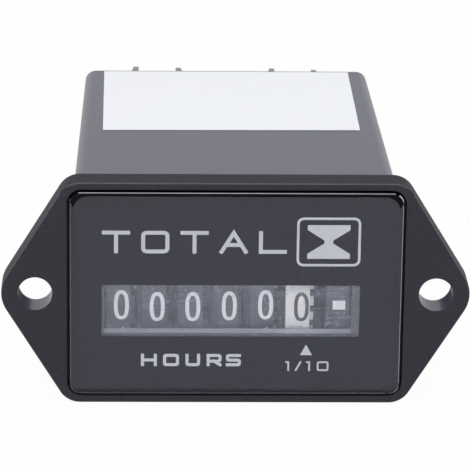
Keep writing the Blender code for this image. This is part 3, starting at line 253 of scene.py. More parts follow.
def paint(node_names, material):
    """Give carried-over pieces their finish."""
    for name in node_names:
        data = nodes[name].data
        data.materials.clear()
        data.materials.append(material)


# Natural acetal is milky and slightly glossy, with faint flow marks.
acetal = moulded("natural_acetal", ACETAL, 0.42, GEAR_GRAIN, 0.01 * MM)
# The frame is satin grey, and the faces of it that look up, such as the ledge, are painted a lighter grey:
# painted light from above.
frame_plastic = moulded("dark_grey_frame_moulding", FRAME_GREY, 0.45, 0.5 * MM, 0.008 * MM)
tree = frame_plastic.node_tree
shader = tree.nodes["Principled BSDF"]
bare = shader.inputs["Base Color"].links[0].from_socket
facing = add_node(tree, "ShaderNodeNewGeometry")
parts = add_node(tree, "ShaderNodeSeparateXYZ", links={"Vector": facing.outputs["True Normal"]})
# Faces turned up get the lighter grey: painted light from above.
top_light_share = add_node(tree, "ShaderNodeMapRange", {"From Min": TOP_LIGHT_FACING[0], "From Max": TOP_LIGHT_FACING[1]},
                   {"Value": parts.outputs["Z"]})
top_lit_colour = add_node(tree, "ShaderNodeMix", {"data_type": "RGBA"})
tree.links.new(top_light_share.outputs["Result"], top_lit_colour.inputs[0])
tree.links.new(bare, top_lit_colour.inputs[6])
top_lit_colour.inputs[7].default_value = srgb(TOP_LIGHT_GREY)
tree.links.new(top_lit_colour.outputs[2], shader.inputs["Base Color"])
# Metals: bright ground steel, dull annealed sheet, enamelled copper that is redder than bare, and brass.
ground_steel = metal("ground_steel", "c3c5c8", 0.22, 0.15 * MM, "X")
stator_sheet = metal("annealed_stator_sheet", "77797d", 0.42, 0.3 * MM, "Y")
enamelled_copper = metal("enamelled_copper_wire", "b3622f", 0.3, 0.12 * MM, "X")
# Board and parts: glossy green mask, a shiny plastic sleeve, matt black epoxy and a matt tan coat.
board_mask = moulded("green_solder_mask", "2c6a3b", 0.35, 1.2 * MM, 0.006 * MM, tone=0.12)
sleeve = moulded("blue_capacitor_sleeve", "24416f", 0.35, 1.0 * MM, 0.004 * MM)
epoxy_black = moulded("black_epoxy_moulding", "1c1c1e", 0.5, 0.3 * MM, 0.006 * MM)
resistor_coat = moulded("tan_resistor_coat", "c6aa80", 0.45, 0.5 * MM, 0.01 * MM)
bonded_magnet = moulded("bonded_ferrite", "3a3938", 0.55, 0.4 * MM, 0.01 * MM)
terminal_brass = metal("terminal_brass", "c8a24e", 0.28, 0.3 * MM, "Y")

paint(["movement_frame"], frame_plastic)
paint(["wheel_shaft", "pinion_shaft", "quartz_crystal"], ground_steel)
paint(["stator", "coil_core"], stator_sheet)
paint(["coil_winding", "coil_lead_left", "coil_lead_right"], enamelled_copper)
paint(["lay_gear", "intermediate_gear", "coil_bobbin"], acetal)
paint([f"transfer_pinion_{i}" for i in range(1, 6)], acetal)
paint(["circuit_board"], board_mask)
paint(["capacitor"], sleeve)
paint(["clock_chip", "rectifier"], epoxy_black)
paint(["resistor"], resistor_coat)
paint(["rotor"], bonded_magnet)
paint(["contact_strap_left", "contact_strap_right"], terminal_brass)
paint(["terminal_insert_left", "terminal_insert_right"], terminal_brass)

# Number wheels.
# Five black acetal wheels and a white one for tenths, each with a band for its digits and a ring of
# twenty teeth beside it on the right. They run loose on one shaft, with ten digits printed on each.
WHEEL_COUNT = 6
WHEEL_RADIUS = 8.0
BAND_WIDTH = 3.1
RIM_WALL = 0.9
RIM_EDGE = 0.12
WEB_LEFT = 2.0
HUB_RADIUS = 2.2
BORE_RADIUS = 1.15
RING_LEFT = 2.6
RING_RIGHT = 3.64
RING_INNER = 4.6
RING_TIP = 6.9
RING_ROOT = 5.8
RING_TEETH = 20
RING_TIP_SHARE = 0.60
RING_ROOT_SHARE = 0.72
TOOTH_EDGE = 0.06
DRUM_RADIUS = 5.5
DRUM_WALL = 1.0
DRUM_LEFT = -0.7
WHEEL_STEPS = 96
PINION_ANGLE = math.radians(50)
FIRST_LEFT = -16.42
WHEEL_PITCH = 4.58
HOLE_STEPS = 48
SHARP = math.radians(40)
# Where painted shade lies on the white wheel: the drum's left reach and radius, and how far below the tooth
# tips the gaps start.
SHADED_DRUM = (1.0, 6.0)
UNSHADED_TIP = 0.15

wheel_low, wheel_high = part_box("number_wheel_6")
axis_y = (wheel_low[1] + wheel_high[1]) / 2 / MM
axis_z = (wheel_low[2] + wheel_high[2]) / 2 / MM


def keep(bm, name, material, scale=MM):
    """Store a mesh that was drawn in millimetres as a finished piece in metres, facing out."""
    bmesh.ops.remove_doubles(bm, verts=bm.verts, dist=0.0005)
    bmesh.ops.recalc_face_normals(bm, faces=bm.faces)
    bmesh.ops.scale(bm, vec=(scale, scale, scale), verts=bm.verts)
    mesh = bpy.data.meshes.new(name)
    bm.to_mesh(mesh)
    bm.free()
    made = bpy.data.objects.new(name, mesh)
    bpy.context.scene.collection.objects.link(made)
    if material:
        mesh.materials.append(material)
    return made


def smooth(made, angle=35):
    """Smooth shading with creases where faces meet more sharply than an angle, flats kept flat."""
    made.data.shade_smooth()
    made.data.set_sharp_from_angle(angle=math.radians(angle))
    flat = made.modifiers.new("flat_faces", "WEIGHTED_NORMAL")
    flat.keep_sharp = True
    return made


def spun(profile, left, steps=WHEEL_STEPS):
    """A closed profile of (radius, x) points spun round the wheels' axis."""
    bm = bmesh.new()
    points = [bm.verts.new((left + x, axis_y - radius, axis_z)) for radius, x in profile]
    edges = [bm.edges.new((points[i - 1], points[i])) for i in range(len(points))]
    bmesh.ops.spin(bm, geom=points + edges, cent=(0, axis_y, axis_z), axis=(1, 0, 0),
                   angle=2 * math.pi, steps=steps, use_merge=True)
    return bm


def toothed(left, right, teeth, tip, root, tip_share, root_share, inner, tooth_at):
    """A ring of straight-flanked teeth, as a band between two loops on each side."""
    bm = bmesh.new()
    outline = []
    for tooth in range(teeth):
        middle = tooth_at + 2 * math.pi * tooth / teeth
        half_root = math.pi * root_share / teeth
        half_tip = math.pi * tip_share / teeth
        for radius, off in ((root, -half_root), (tip, -half_tip), (tip, half_tip), (root, half_root)):
            outline.append((radius * math.cos(middle + off), radius * math.sin(middle + off)))
    turns = [2 * math.pi * i / HOLE_STEPS for i in range(HOLE_STEPS)]
    hole = [(inner * math.cos(turn), inner * math.sin(turn)) for turn in turns]
    sides = []
    for x in (left, right):
        loops = []
        for points in (outline, hole):
            verts = [bm.verts.new((x, axis_y + a, axis_z + b)) for a, b in points]
            loops.append([bm.edges.new((verts[i - 1], verts[i])) for i in range(len(verts))])
        bmesh.ops.triangle_fill(bm, use_beauty=True, use_dissolve=False, edges=loops[0] + loops[1])
        sides.append(loops)
    bmesh.ops.bridge_loops(bm, edges=sides[0][0] + sides[1][0])
    bmesh.ops.bridge_loops(bm, edges=sides[0][1] + sides[1][1])
    bmesh.ops.recalc_face_normals(bm, faces=bm.faces)
    sharp = [e for e in bm.edges if e.calc_face_angle(0) > SHARP
             and min(math.hypot(v.co.y - axis_y, v.co.z - axis_z) for v in e.verts) > root - TOOTH_EDGE]
    bmesh.ops.bevel(bm, geom=sharp, offset=TOOTH_EDGE, segments=1, profile=0.5, affect="EDGES",
                    material=-1)
    return bm


def united(first, second, way="UNION"):
    """Two overlapping finished pieces as one solid, or the first with the second cut out of it."""
    union = first.modifiers.new("union", "BOOLEAN")
    union.operation = way
    union.solver = "EXACT"
    union.object = second
    bpy.context.view_layer.update()
    graph = bpy.context.evaluated_depsgraph_get()
    result = bpy.data.meshes.new_from_object(first.evaluated_get(graph))
    first.modifiers.remove(union)
    first.data = result
    bpy.data.objects.remove(second)
    return first


def wheel_profile(drives):
    """The wheel's section: hub, web and rim, and on a driving wheel the drum on the left."""
    mid_edge = RIM_EDGE * 0.3
    rim = [
        (WHEEL_RADIUS - RIM_WALL, WEB_LEFT), (WHEEL_RADIUS - RIM_WALL, 0),
        (WHEEL_RADIUS - RIM_EDGE, 0), (WHEEL_RADIUS - mid_edge, mid_edge), (WHEEL_RADIUS, RIM_EDGE),
        (WHEEL_RADIUS, BAND_WIDTH - RIM_EDGE),
        (WHEEL_RADIUS - mid_edge, BAND_WIDTH - mid_edge), (WHEEL_RADIUS - RIM_EDGE, BAND_WIDTH),
        (HUB_RADIUS, BAND_WIDTH), (HUB_RADIUS, RING_RIGHT), (BORE_RADIUS, RING_RIGHT),
    ]
    if not drives:
        return [(BORE_RADIUS, 0), (HUB_RADIUS, 0), (HUB_RADIUS, WEB_LEFT)] + rim
    drum_inner = DRUM_RADIUS - DRUM_WALL
    return [
        (BORE_RADIUS, DRUM_LEFT), (HUB_RADIUS, DRUM_LEFT), (HUB_RADIUS, WEB_LEFT), (drum_inner, WEB_LEFT),
        (drum_inner, DRUM_LEFT), (DRUM_RADIUS, DRUM_LEFT), (DRUM_RADIUS, WEB_LEFT),
    ] + rim


# Moulded acetal is satin and slightly cloudy. The white wheel's drum and the gaps between its teeth are
# painted dark grey: painted shade.
wheel_black = moulded("black_wheel_acetal", "444550", 0.38, 0.35 * MM, 0.012 * MM, tone=0.12, coarse=2.0)
wheel_white = moulded("white_wheel_acetal", "f6f5f2", 0.4, 0.35 * MM, 0.01 * MM, tone=0.03, coarse=2.0)
wheel_painted_shade = moulded("painted_shade_in_the_teeth", "3b3835", 0.6, 0.35 * MM, 0.01 * MM, tone=0.15, coarse=1.0)
for index in range(WHEEL_COUNT):
    left = FIRST_LEFT + index * WHEEL_PITCH
    colour = wheel_white if index == WHEEL_COUNT - 1 else wheel_black
    name = f"number_wheel_{index + 1}"
    body = keep(spun(wheel_profile(index > 0), left), f"wheel_{index + 1}", colour)
    ring = toothed(left + RING_LEFT, left + RING_RIGHT, RING_TEETH, RING_TIP, RING_ROOT, RING_TIP_SHARE,
                   RING_ROOT_SHARE, RING_INNER, PINION_ANGLE)
    wheel = united(body, keep(ring, "ring", colour))
    if index == WHEEL_COUNT - 1:
        # The white wheel's drum and tooth gaps get a dark grey: painted shade in the recesses.
        wheel.data.materials.append(wheel_painted_shade)
        for face in wheel.data.polygons:
            x, y, z = face.center / MM
            reach = math.hypot(y - axis_y, z - axis_z)
            on_drum = x < left + SHADED_DRUM[0] and reach < SHADED_DRUM[1]
            between_teeth = x > left + BAND_WIDTH - 0.02 and reach < RING_TIP - UNSHADED_TIP
            if on_drum or between_teeth:
                face.material_index = len(wheel.data.materials) - 1
    smooth(wheel)
    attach(wheel, name)
    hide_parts(name)

# Digits.
# Pad-printed numerals, 2 mm wide and 4 mm tall with a thin even stroke, nought to nine round each
# wheel. The black wheels have bluish white ink and the tenths wheel dark grey.
DIGIT_WIDTH = 1.94
DIGIT_HEIGHT = 3.97
DIGIT_STROKE = 0.48
TENTHS_STROKE = 0.46
DIGIT_MIDDLE = 2.02
INK_PROUD = 0.012
INK_THICK = 0.03
INK_RISE = 0.15
WRAP_STEP = 0.4
DIGIT_RISES = (0.22, -0.02, -0.02, 0.10, 0.27, 0.0)
DIGIT_SHIFTS = (-0.09, -0.1, -0.14, -0.06, 0.0, 0.0)


def bow(cx, cz, rx, rz, start, end, steps=14):
    """Points on part of an ellipse, angles in degrees."""
    turns = [math.radians(start + (end - start) * i / steps) for i in range(steps + 1)]
    return [(cx + rx * math.cos(t), cz + rz * math.sin(t)) for t in turns]


def squared_bow(rx, rz, power, steps=36):
    """A closed loop between an ellipse and a rectangle, straighter in its sides at a higher power."""
    points = []
    for i in range(steps):
        turn = 2 * math.pi * i / steps
        across, along = math.cos(turn), math.sin(turn)
        points.append((rx * math.copysign(abs(across) ** (2 / power), across),
                       rz * math.copysign(abs(along) ** (2 / power), along)))
    return points + ["closed"]


def numeral(digit):
    """The middle lines of a numeral in a box one wide and two tall about the origin."""
    side = 0.74 / 2
    top = 0.88
    return {
        0: [squared_bow(side, top, 2.5)],
        1: [[(-0.2, 0.52), (0.05, 0.7), (0.05, -0.96)]],
        2: [bow(0, 0.5, side, 0.39, 170, -30, 12) + [(-side, -top), (side, -top)]],
        3: [bow(-0.02, 0.45, side, 0.44, 150, -88, 14), bow(-0.02, -0.44, side, 0.45, 88, -150, 14)],
        4: [[(0.42, -0.4), (-0.42, -0.4), (0.15, top), (0.15, -top)]],
        5: [[(0.34, top), (-0.3, top), (-0.34, 0.12)] + bow(-0.02, -0.34, side, 0.55, 120, -150, 16)],
        6: [bow(0, -0.4, side, 0.49, 0, 345, 22) + ["closed"], bow(0.06, -0.1, 0.45, 1.0, 178, 100, 10)],
        7: [[(-side, top), (side, top), (-0.12, -top)]],
        8: [bow(0, 0.47, side * 0.86, 0.42, 0, 345, 22) + ["closed"],
            bow(0, -0.43, side, 0.46, 0, 345, 22) + ["closed"]],
        9: [bow(0, 0.4, side, 0.49, 0, 345, 22) + ["closed"], bow(-0.06, 0.1, 0.45, 1.0, -2, -80, 10)],
    }[digit]


def squared_ends(points, reach):
    """A line lengthened by a reach at both ends, so that a stroke on it ends square."""
    first, second = Vector(points[0]), Vector(points[1])
    last, before = Vector(points[-1]), Vector(points[-2])
    start = first + (first - second).normalized() * reach
    end = last + (last - before).normalized() * reach
    return [tuple(start)] + points[1:-1] + [tuple(end)]


def lift(bm, extruded, way):
    """Move what an extrusion has just raised."""
    bmesh.ops.translate(bm, vec=way, verts=[v for v in extruded["geom"] if isinstance(v, bmesh.types.BMVert)])


def ink_strokes(lines, width, scale_x, scale_z, middle_x, middle_z):
    """Flat printed strokes of one width along lines, drawn in X and Z in millimetres and facing -Y.

    Each stroke of a sign is a little thicker than the one before, so that no two share a face.
    """
    bm = bmesh.new()
    for place, line in enumerate(lines):
        rise = INK_THICK * (1 + INK_RISE * (place % 4))
        closed = line[-1] == "closed"
        points = line[:-1] if closed else line
        points = [(middle_x + x * scale_x, middle_z + z * scale_z) for x, z in points]
        if not closed:
            points = squared_ends(points, width / 2)
        verts = [bm.verts.new((x, 0, z)) for x, z in points]
        pairs = list(zip(verts, verts[1:])) + ([(verts[-1], verts[0])] if closed else [])
        edges = [bm.edges.new(pair) for pair in pairs]
        lift(bm, bmesh.ops.extrude_edge_only(bm, edges=edges), (0, -rise, 0))
    mesh = bpy.data.meshes.new("strokes")
    bm.to_mesh(mesh)
    bm.free()
    drawn = bpy.data.objects.new("strokes", mesh)
    bpy.context.scene.collection.objects.link(drawn)
    wide = drawn.modifiers.new("width", "SOLIDIFY")
    wide.thickness = width
    wide.offset = 0
    wide.use_even_offset = True
    bpy.context.view_layer.update()
    graph = bpy.context.evaluated_depsgraph_get()
    result = bmesh.new()
    result.from_mesh(bpy.data.meshes.new_from_object(drawn.evaluated_get(graph)))
    bpy.data.objects.remove(drawn)
    return result


def wrapped(bm, radius, turn):
    """Cut flat print in short steps and bend it round a wheel, so that it faces out of the rim."""
    low = min(vert.co.z for vert in bm.verts)
    high = max(vert.co.z for vert in bm.verts)
    steps = math.ceil((high - low) / WRAP_STEP)
    for step in range(1, steps):
        bmesh.ops.bisect_plane(bm, geom=bm.verts[:] + bm.edges[:] + bm.faces[:], dist=0.0001,
                               plane_co=(0, 0, low + (high - low) * step / steps), plane_no=(0, 0, 1))
    for vert in bm.verts:
        angle = math.pi - vert.co.z / radius + turn
        reach = radius - vert.co.y
        vert.co.y = axis_y + reach * math.cos(angle)
        vert.co.z = axis_z + reach * math.sin(angle)


def printed_ink(name, hex_colour, wear=0.1):
    """Pad-printing ink: matt, and a little thin in places."""
    return moulded(name, hex_colour, 0.5, 0.12 * MM, 0.003 * MM, tone=wear, coarse=0.4)


white_ink = printed_ink("bluish_white_ink", "f8f9ff")
dark_ink = printed_ink("dark_grey_ink", "1e1e24")
for index in range(WHEEL_COUNT):
    left = FIRST_LEFT + index * WHEEL_PITCH
    all_digits = bmesh.new()
    for digit in range(10):
        stroke = TENTHS_STROKE if index == WHEEL_COUNT - 1 else DIGIT_STROKE
        shape = ink_strokes(numeral(digit), stroke, DIGIT_WIDTH, DIGIT_HEIGHT / 2,
                            left + DIGIT_MIDDLE + DIGIT_SHIFTS[index], DIGIT_RISES[index])
        wrapped(shape, WHEEL_RADIUS + INK_PROUD, 2 * math.pi * digit / 10)
        mesh = bpy.data.meshes.new("digit")
        shape.to_mesh(mesh)
        shape.free()
        all_digits.from_mesh(mesh)
        bpy.data.meshes.remove(mesh)
    ink = dark_ink if index == WHEEL_COUNT - 1 else white_ink
    digits = keep(all_digits, f"digits_{index + 1}", ink)
    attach(digits, f"number_wheel_{index + 1}")

# Run indicator.
# A black wheel at the right end of the row with white blocks printed round it, so that it is plain to
# see when the meter runs. Its pinion and gear are moulded with it.
INDICATOR_LEFT = 11.62
INDICATOR_HUB_LEFT = -0.3
INDICATOR_PINION = (-1.2, 1.0)
INDICATOR_GEAR = (2.5, 3.9)
INDICATOR_GEAR_INNER = 5.4
INDICATOR_TEETH = (40, 7.8, 7.1)
INDICATOR_PINION_TEETH = (10, 3.1, 2.15)
GEAR_SHARES = (0.22, 0.56)
PINION_SHARES = (0.18, 0.46)
MARK_WIDTH = 1.62
MARK_HEIGHT = 1.18
MARK_MIDDLE = 1.68
MARK_COUNT = 10
MARK_RISE = 0.31
indicator_profile = [
    (BORE_RADIUS, INDICATOR_HUB_LEFT), (HUB_RADIUS, INDICATOR_HUB_LEFT),
    (HUB_RADIUS, WEB_LEFT), (WHEEL_RADIUS - RIM_WALL, WEB_LEFT),
    (WHEEL_RADIUS - RIM_WALL, 0), (WHEEL_RADIUS - RIM_EDGE, 0), (WHEEL_RADIUS, RIM_EDGE),
    (WHEEL_RADIUS, BAND_WIDTH - RIM_EDGE), (WHEEL_RADIUS - RIM_EDGE, BAND_WIDTH), (HUB_RADIUS, BAND_WIDTH),
    (HUB_RADIUS, INDICATOR_GEAR[1]), (BORE_RADIUS, INDICATOR_GEAR[1]),
]
indicator = keep(spun(indicator_profile, INDICATOR_LEFT), "run_indicator", wheel_black)
gear_ends = [INDICATOR_LEFT + x for x in INDICATOR_GEAR]
drive_gear = toothed(*gear_ends, *INDICATOR_TEETH, *GEAR_SHARES, INDICATOR_GEAR_INNER, 0)
pinion_ends = [INDICATOR_LEFT + x for x in INDICATOR_PINION]
drive_pinion = toothed(*pinion_ends, *INDICATOR_PINION_TEETH, *PINION_SHARES, BORE_RADIUS, PINION_ANGLE)
indicator = united(indicator, keep(drive_gear, "drive_gear", wheel_black))
indicator = smooth(united(indicator, keep(drive_pinion, "drive_pinion", wheel_black)))
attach(indicator, "indicator_wheel")
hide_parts("indicator_wheel")
marks = bmesh.new()
for mark in range(MARK_COUNT):
    middle = INDICATOR_LEFT + MARK_MIDDLE
    block = bmesh.new()
    bmesh.ops.create_grid(block, x_segments=1, y_segments=6, size=0.5)
    bmesh.ops.transform(block, matrix=Matrix.Rotation(math.radians(90), 4, "X"), verts=block.verts)
    bmesh.ops.scale(block, vec=(MARK_WIDTH, 1, MARK_HEIGHT), verts=block.verts)
    bmesh.ops.translate(block, vec=(middle, 0, MARK_RISE), verts=block.verts)
    lift(block, bmesh.ops.extrude_face_region(block, geom=block.faces[:]), (0, -INK_THICK, 0))
    wrapped(block, WHEEL_RADIUS + INK_PROUD, 2 * math.pi * mark / MARK_COUNT)
    mesh = bpy.data.meshes.new("mark")
    block.to_mesh(mesh)
    block.free()
    marks.from_mesh(mesh)
    bpy.data.meshes.remove(mesh)
mark_piece = keep(marks, "indicator_marks", white_ink)
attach(mark_piece, "indicator_wheel")

# Dial.
# A thin sheet behind the lens, black but for the window over the number wheels.
DIAL_CORNER = 1.2
WINDOW = (-17.0, 15.8, -6.1, 0.9)
WINDOW_CORNER = 0.12
dial_low, dial_high = [[c / MM for c in corner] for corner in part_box("dial")]


def rounded(low_x, high_x, low_z, high_z, radius, steps=6):
    """The outline of a rectangle with round corners, as (x, z) points."""
    points = []
    for cx, cz, start in (
        (high_x - radius, low_z + radius, -90), (high_x - radius, high_z - radius, 0),
        (low_x + radius, high_z - radius, 90), (low_x + radius, low_z + radius, 180),
    ):
        points += bow(cx, cz, radius, radius, start, start + 90, steps)
    return points


def ring_at(bm, points, depth):
    """A closed loop of edges through (x, z) points at one depth."""
    verts = [bm.verts.new((x, depth, z)) for x, z in points]
    return [bm.edges.new((verts[i - 1], verts[i])) for i in range(len(verts))]


def skin(bm, *loops):
    """Walls between one loop and the next."""
    for near, far in zip(loops, loops[1:]):
        bmesh.ops.bridge_loops(bm, edges=near + far)


def cover(bm, *loops):
    """A flat face inside the first loop, open inside the others."""
    edges = [e for loop in loops for e in loop]
    bmesh.ops.triangle_fill(bm, use_beauty=True, use_dissolve=False, edges=edges)


bm = bmesh.new()
dial_outline = rounded(dial_low[0], dial_high[0], dial_low[2], dial_high[2], DIAL_CORNER)
window_outline = rounded(*WINDOW, WINDOW_CORNER, 2)
outer = [ring_at(bm, dial_outline, y) for y in (dial_low[1], dial_high[1])]
inner = [ring_at(bm, window_outline, y) for y in (dial_low[1], dial_high[1])]
skin(bm, *outer)
skin(bm, *inner)
cover(bm, outer[0], inner[0])
cover(bm, outer[1], inner[1])
# The back of the film is printed matt black, which shows a cold dark grey under the lens.
dial_black = moulded("black_printed_dial", "1c1b2e", 0.6, 0.6 * MM, 0.002 * MM, tone=0.1, gloss=0.1)
dial = smooth(keep(bm, "dial_sheet", dial_black))
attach(dial, "case")
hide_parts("dial")

# Window film.
# The dial is printed on a clear film, and the window is the part left unprinted. It is hazy with age:
# mostly clear, with a thin even bloom, a few cloudy patches and specks of dust.
FILM_THICK = 0.15
FILM_SET_BACK = 0.1
HAZE = (0.055, 0.085)
HAZE_SIZE = 2.5 * MM
SPECK = 0.18
SPECK_SIZE = 0.5 * MM
SCRATCH = 0.07
SCRATCH_SCALE = (150, 300, 4500)
SCRATCH_SLANT = math.radians(62)
bm = bmesh.new()
film_loops = [ring_at(bm, window_outline, dial_low[1] + FILM_SET_BACK + y) for y in (0, FILM_THICK)]
skin(bm, *film_loops)
cover(bm, film_loops[0])
cover(bm, film_loops[1])


def patches(noise, begin, full, least, most):
    """A share that rises from least to most as a noise goes from one level to another."""
    return add_node(tree, "ShaderNodeMapRange",
                    {"From Min": begin, "From Max": full, "To Min": least, "To Max": most},
                    {"Value": noise.outputs["Fac"]}).outputs["Result"]


def added(first, second):
    """The sum of two values."""
    total = add_node(tree, "ShaderNodeMath", {"operation": "ADD"})
    tree.links.new(first, total.inputs[0])
    tree.links.new(second, total.inputs[1])
    return total.outputs[0]


# Aged clear film lets most light through and scatters the rest, bluish white. Light meets both of its
# faces, so each share is half of what the eye sees. Scratches run along it, drawn wider than real ones.
hazy = bpy.data.materials.new("hazy_clear_film")
hazy.use_nodes = True
tree = hazy.node_tree
tree.nodes.clear()
place = add_node(tree, "ShaderNodeTexCoord")
cloud = add_node(tree, "ShaderNodeTexNoise", {"Scale": 1 / HAZE_SIZE, "Detail": 4.0},
                 {"Vector": place.outputs["Object"]})
dust = add_node(tree, "ShaderNodeTexNoise", {"Scale": 1 / SPECK_SIZE, "Detail": 3.0},
                {"Vector": place.outputs["Object"]})
slant = add_node(tree, "ShaderNodeMapping", {"Rotation": (0, SCRATCH_SLANT, 0), "Scale": SCRATCH_SCALE},
                 {"Vector": place.outputs["Object"]})
scored = add_node(tree, "ShaderNodeTexNoise", {"Scale": 1.0, "Detail": 3.0},
                  {"Vector": slant.outputs["Vector"]})
marks_on_film = added(patches(scored, 0.57, 0.67, 0, SCRATCH), patches(dust, 0.61, 0.69, 0, SPECK))
veil = added(patches(cloud, 0.3, 0.7, *HAZE), marks_on_film)
clear = add_node(tree, "ShaderNodeBsdfTransparent", {"Color": (1, 1, 1, 1)})
bloomed = add_node(tree, "ShaderNodeBsdfDiffuse", {"Color": srgb("d6daf6")})
film_mix = add_node(tree, "ShaderNodeMixShader", links={"Fac": veil})
tree.links.new(clear.outputs[0], film_mix.inputs[1])
tree.links.new(bloomed.outputs[0], film_mix.inputs[2])
add_node(tree, "ShaderNodeOutputMaterial", links={"Surface": film_mix.outputs[0]})
film = smooth(keep(bm, "window_film", hazy))
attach(film, "case")

# Print on the dial.
# Light grey screen printing: a header word, a framed figure, the unit of the count and a pointer.
HEADER_WORD = "TOTAL"
HEADER_BOX = (-16.95, 6.4, 5.17, 8.17)
HEADER_STROKE = 0.5
HEADER_GAP = 1.4
UNIT_HEIGHT = (-10.08, -8.41)
UNIT_PLACES = ((-11.98, 2.04), (-9.16, 2.05), (-6.3, 1.87), (-3.6, 1.92), (-1.13, 1.91))
UNIT_STROKE = 0.4
PRINT_PROUD = 0.02
LETTER_CORNER = 0.16
TENTH_HEIGHT = (-10.7, -9.39)
TENTH_PLACES = ((6.35, 0.61), (7.7, 0.8), (9.0, 0.63), (10.5, 1.5))
TENTH_STROKE = 0.22
FIGURE_BOX = (7.8, 15.57, 3.66, 9.86)
FIGURE_STROKE = 0.32
FIGURE_CORNER = 0.7
POINTER = ((8.32, -8.54), (9.86, -8.54), (9.07, -7.12))


def letter(sign):
    """The middle lines of a wide squared letter in a box from 0 to 1 each way."""
    near, far = LETTER_CORNER, 1 - LETTER_CORNER
    round_box = rounded(0, 1, 0, 1, near, 4)
    cup = bow(near, near, near, near, 180, 270, 4) + bow(far, near, near, near, 270, 360, 4)
    head = bow(far, far, near, near, 90, 0, 4) + bow(far, 0.54, near, near, 0, -90, 4)
    return {
        "T": [[(0, 1), (1, 1)], [(0.5, 1), (0.5, 0)]],
        "O": [round_box + ["closed"]],
        "0": [round_box + ["closed"]],
        "A": [[(0, 0), (0.5, 1), (1, 0)], [(0.19, 0.36), (0.81, 0.36)]],
        "L": [[(0, 1), (0, 0), (1, 0)]],
        "H": [[(0, 0), (0, 1)], [(1, 0), (1, 1)], [(0, 0.5), (1, 0.5)]],
        "U": [[(0, 1)] + cup + [(1, 1)]],
        "R": [[(0, 0), (0, 1)], [(0, 1)] + head + [(0, 0.38)], [(0.5, 0.38), (1, 0)]],
        "S": [[(1, 1)] + bow(0.14, 0.86, 0.14, 0.14, 90, 180, 4) + bow(0.14, 0.64, 0.14, 0.14, 180, 270, 4)
              + bow(0.86, 0.36, 0.14, 0.14, 90, 0, 4) + bow(0.86, 0.14, 0.14, 0.14, 0, -90, 4) + [(0, 0)]],
        "1": [[(0.3, 1), (1, 1), (1, 0)]],
        "/": [[(0, 0), (1, 1)]],
    }[sign]


def word(text, box, stroke, gap):
    """A word's lines fitted to a box of x from, x to, z from, z to, its letters a gap apart."""
    low_x, high_x, low_z, high_z = box
    width = (high_x - low_x - gap * (len(text) - 1)) / len(text)
    wide, tall = width - stroke, high_z - low_z - stroke
    lines = []
    for place, sign in enumerate(text):
        start = low_x + place * (width + gap) + stroke / 2
        foot = low_z + stroke / 2
        for line in letter(sign):
            lines.append([p if p == "closed" else (start + p[0] * wide, foot + p[1] * tall) for p in line])
    return lines


print_y = dial_low[1] - PRINT_PROUD
grey_ink = printed_ink("light_grey_ink", "c4c5ce", wear=0.05)


def print_on_dial(name, lines, stroke):
    """Printed lines laid on the dial's front."""
    shape = ink_strokes(lines, stroke, 1, 1, 0, 0)
    bmesh.ops.translate(shape, vec=(0, print_y, 0), verts=shape.verts)
    made = keep(shape, name, grey_ink)
    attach(made, "case")
    return made


def solid_print(name, outline):
    """A filled printed shape on the dial's front."""
    bm = bmesh.new()
    loops = [ring_at(bm, outline, y) for y in (print_y, print_y - INK_THICK)]
    skin(bm, *loops)
    cover(bm, loops[0])
    cover(bm, loops[1])
    made = keep(bm, name, grey_ink)
    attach(made, "case")
    return made


print_on_dial("header_word", word(HEADER_WORD, HEADER_BOX, HEADER_STROKE, HEADER_GAP), HEADER_STROKE)
for name, text, places, height, stroke in (
    ("unit_word", "HOURS", UNIT_PLACES, UNIT_HEIGHT, UNIT_STROKE),
    ("tenth_legend", "1/10", TENTH_PLACES, TENTH_HEIGHT, TENTH_STROKE),
):
    lines = []
    for sign, (low_x, width) in zip(text, places):
        lines += word(sign, (low_x, low_x + width, *height), stroke, 0)
    print_on_dial(name, lines, stroke)
figure_frame = rounded(*FIGURE_BOX, FIGURE_CORNER, 5)
print_on_dial("figure_frame", [figure_frame + ["closed"]], FIGURE_STROKE)
solid_print("tenths_pointer", POINTER)
figure_x = (FIGURE_BOX[0] + FIGURE_BOX[1]) / 2
figure_z = (FIGURE_BOX[2] + FIGURE_BOX[3]) / 2
hourglass = [
    (-2.7, 2.25), (2.7, 2.25), (2.7, 1.6), (0.55, 0.2), (0.55, -0.2), (2.7, -1.6),
    (2.7, -2.25), (-2.7, -2.25), (-2.7, -1.6), (-0.55, -0.2), (-0.55, 0.2), (-2.7, 1.6),
]
solid_print("hourglass_figure", [(figure_x + x, figure_z + z) for x, z in hourglass])

# Lens.
# A clear acrylic moulding bonded into the flange and polished on the front. Its rounded edge is painted
# black, a painted dark reflection, but for a thin pale line along the top and sides, a painted highlight.
LENS_CORNER = 1.3
LENS_FACE_CORNER = 1.95
LENS_EDGE = 0.43
LENS_TURNS = (0, 20, 44, 56, 74, 90)
# Tilts and turns of the edge's faces that take the painted highlight.
HIGHLIGHT_TOP = (56, 74)
HIGHLIGHT_SIDES = (44, 56)
TOP_SPAN = 20
SIDE_SPAN = 60
ACRYLIC_TINT = (0.98, 0.985, 0.99, 1)
ACRYLIC_IOR = 1.34
lens_low, lens_high = [[c / MM for c in corner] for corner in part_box("lens")]


def edge_steps(radius, count=4):
    """Inset and depth of each loop round a quarter-round edge."""
    turns = [math.radians(90 * i / count) for i in range(count + 1)]
    return [(radius * (1 - math.sin(t)), radius * (1 - math.cos(t))) for t in turns]


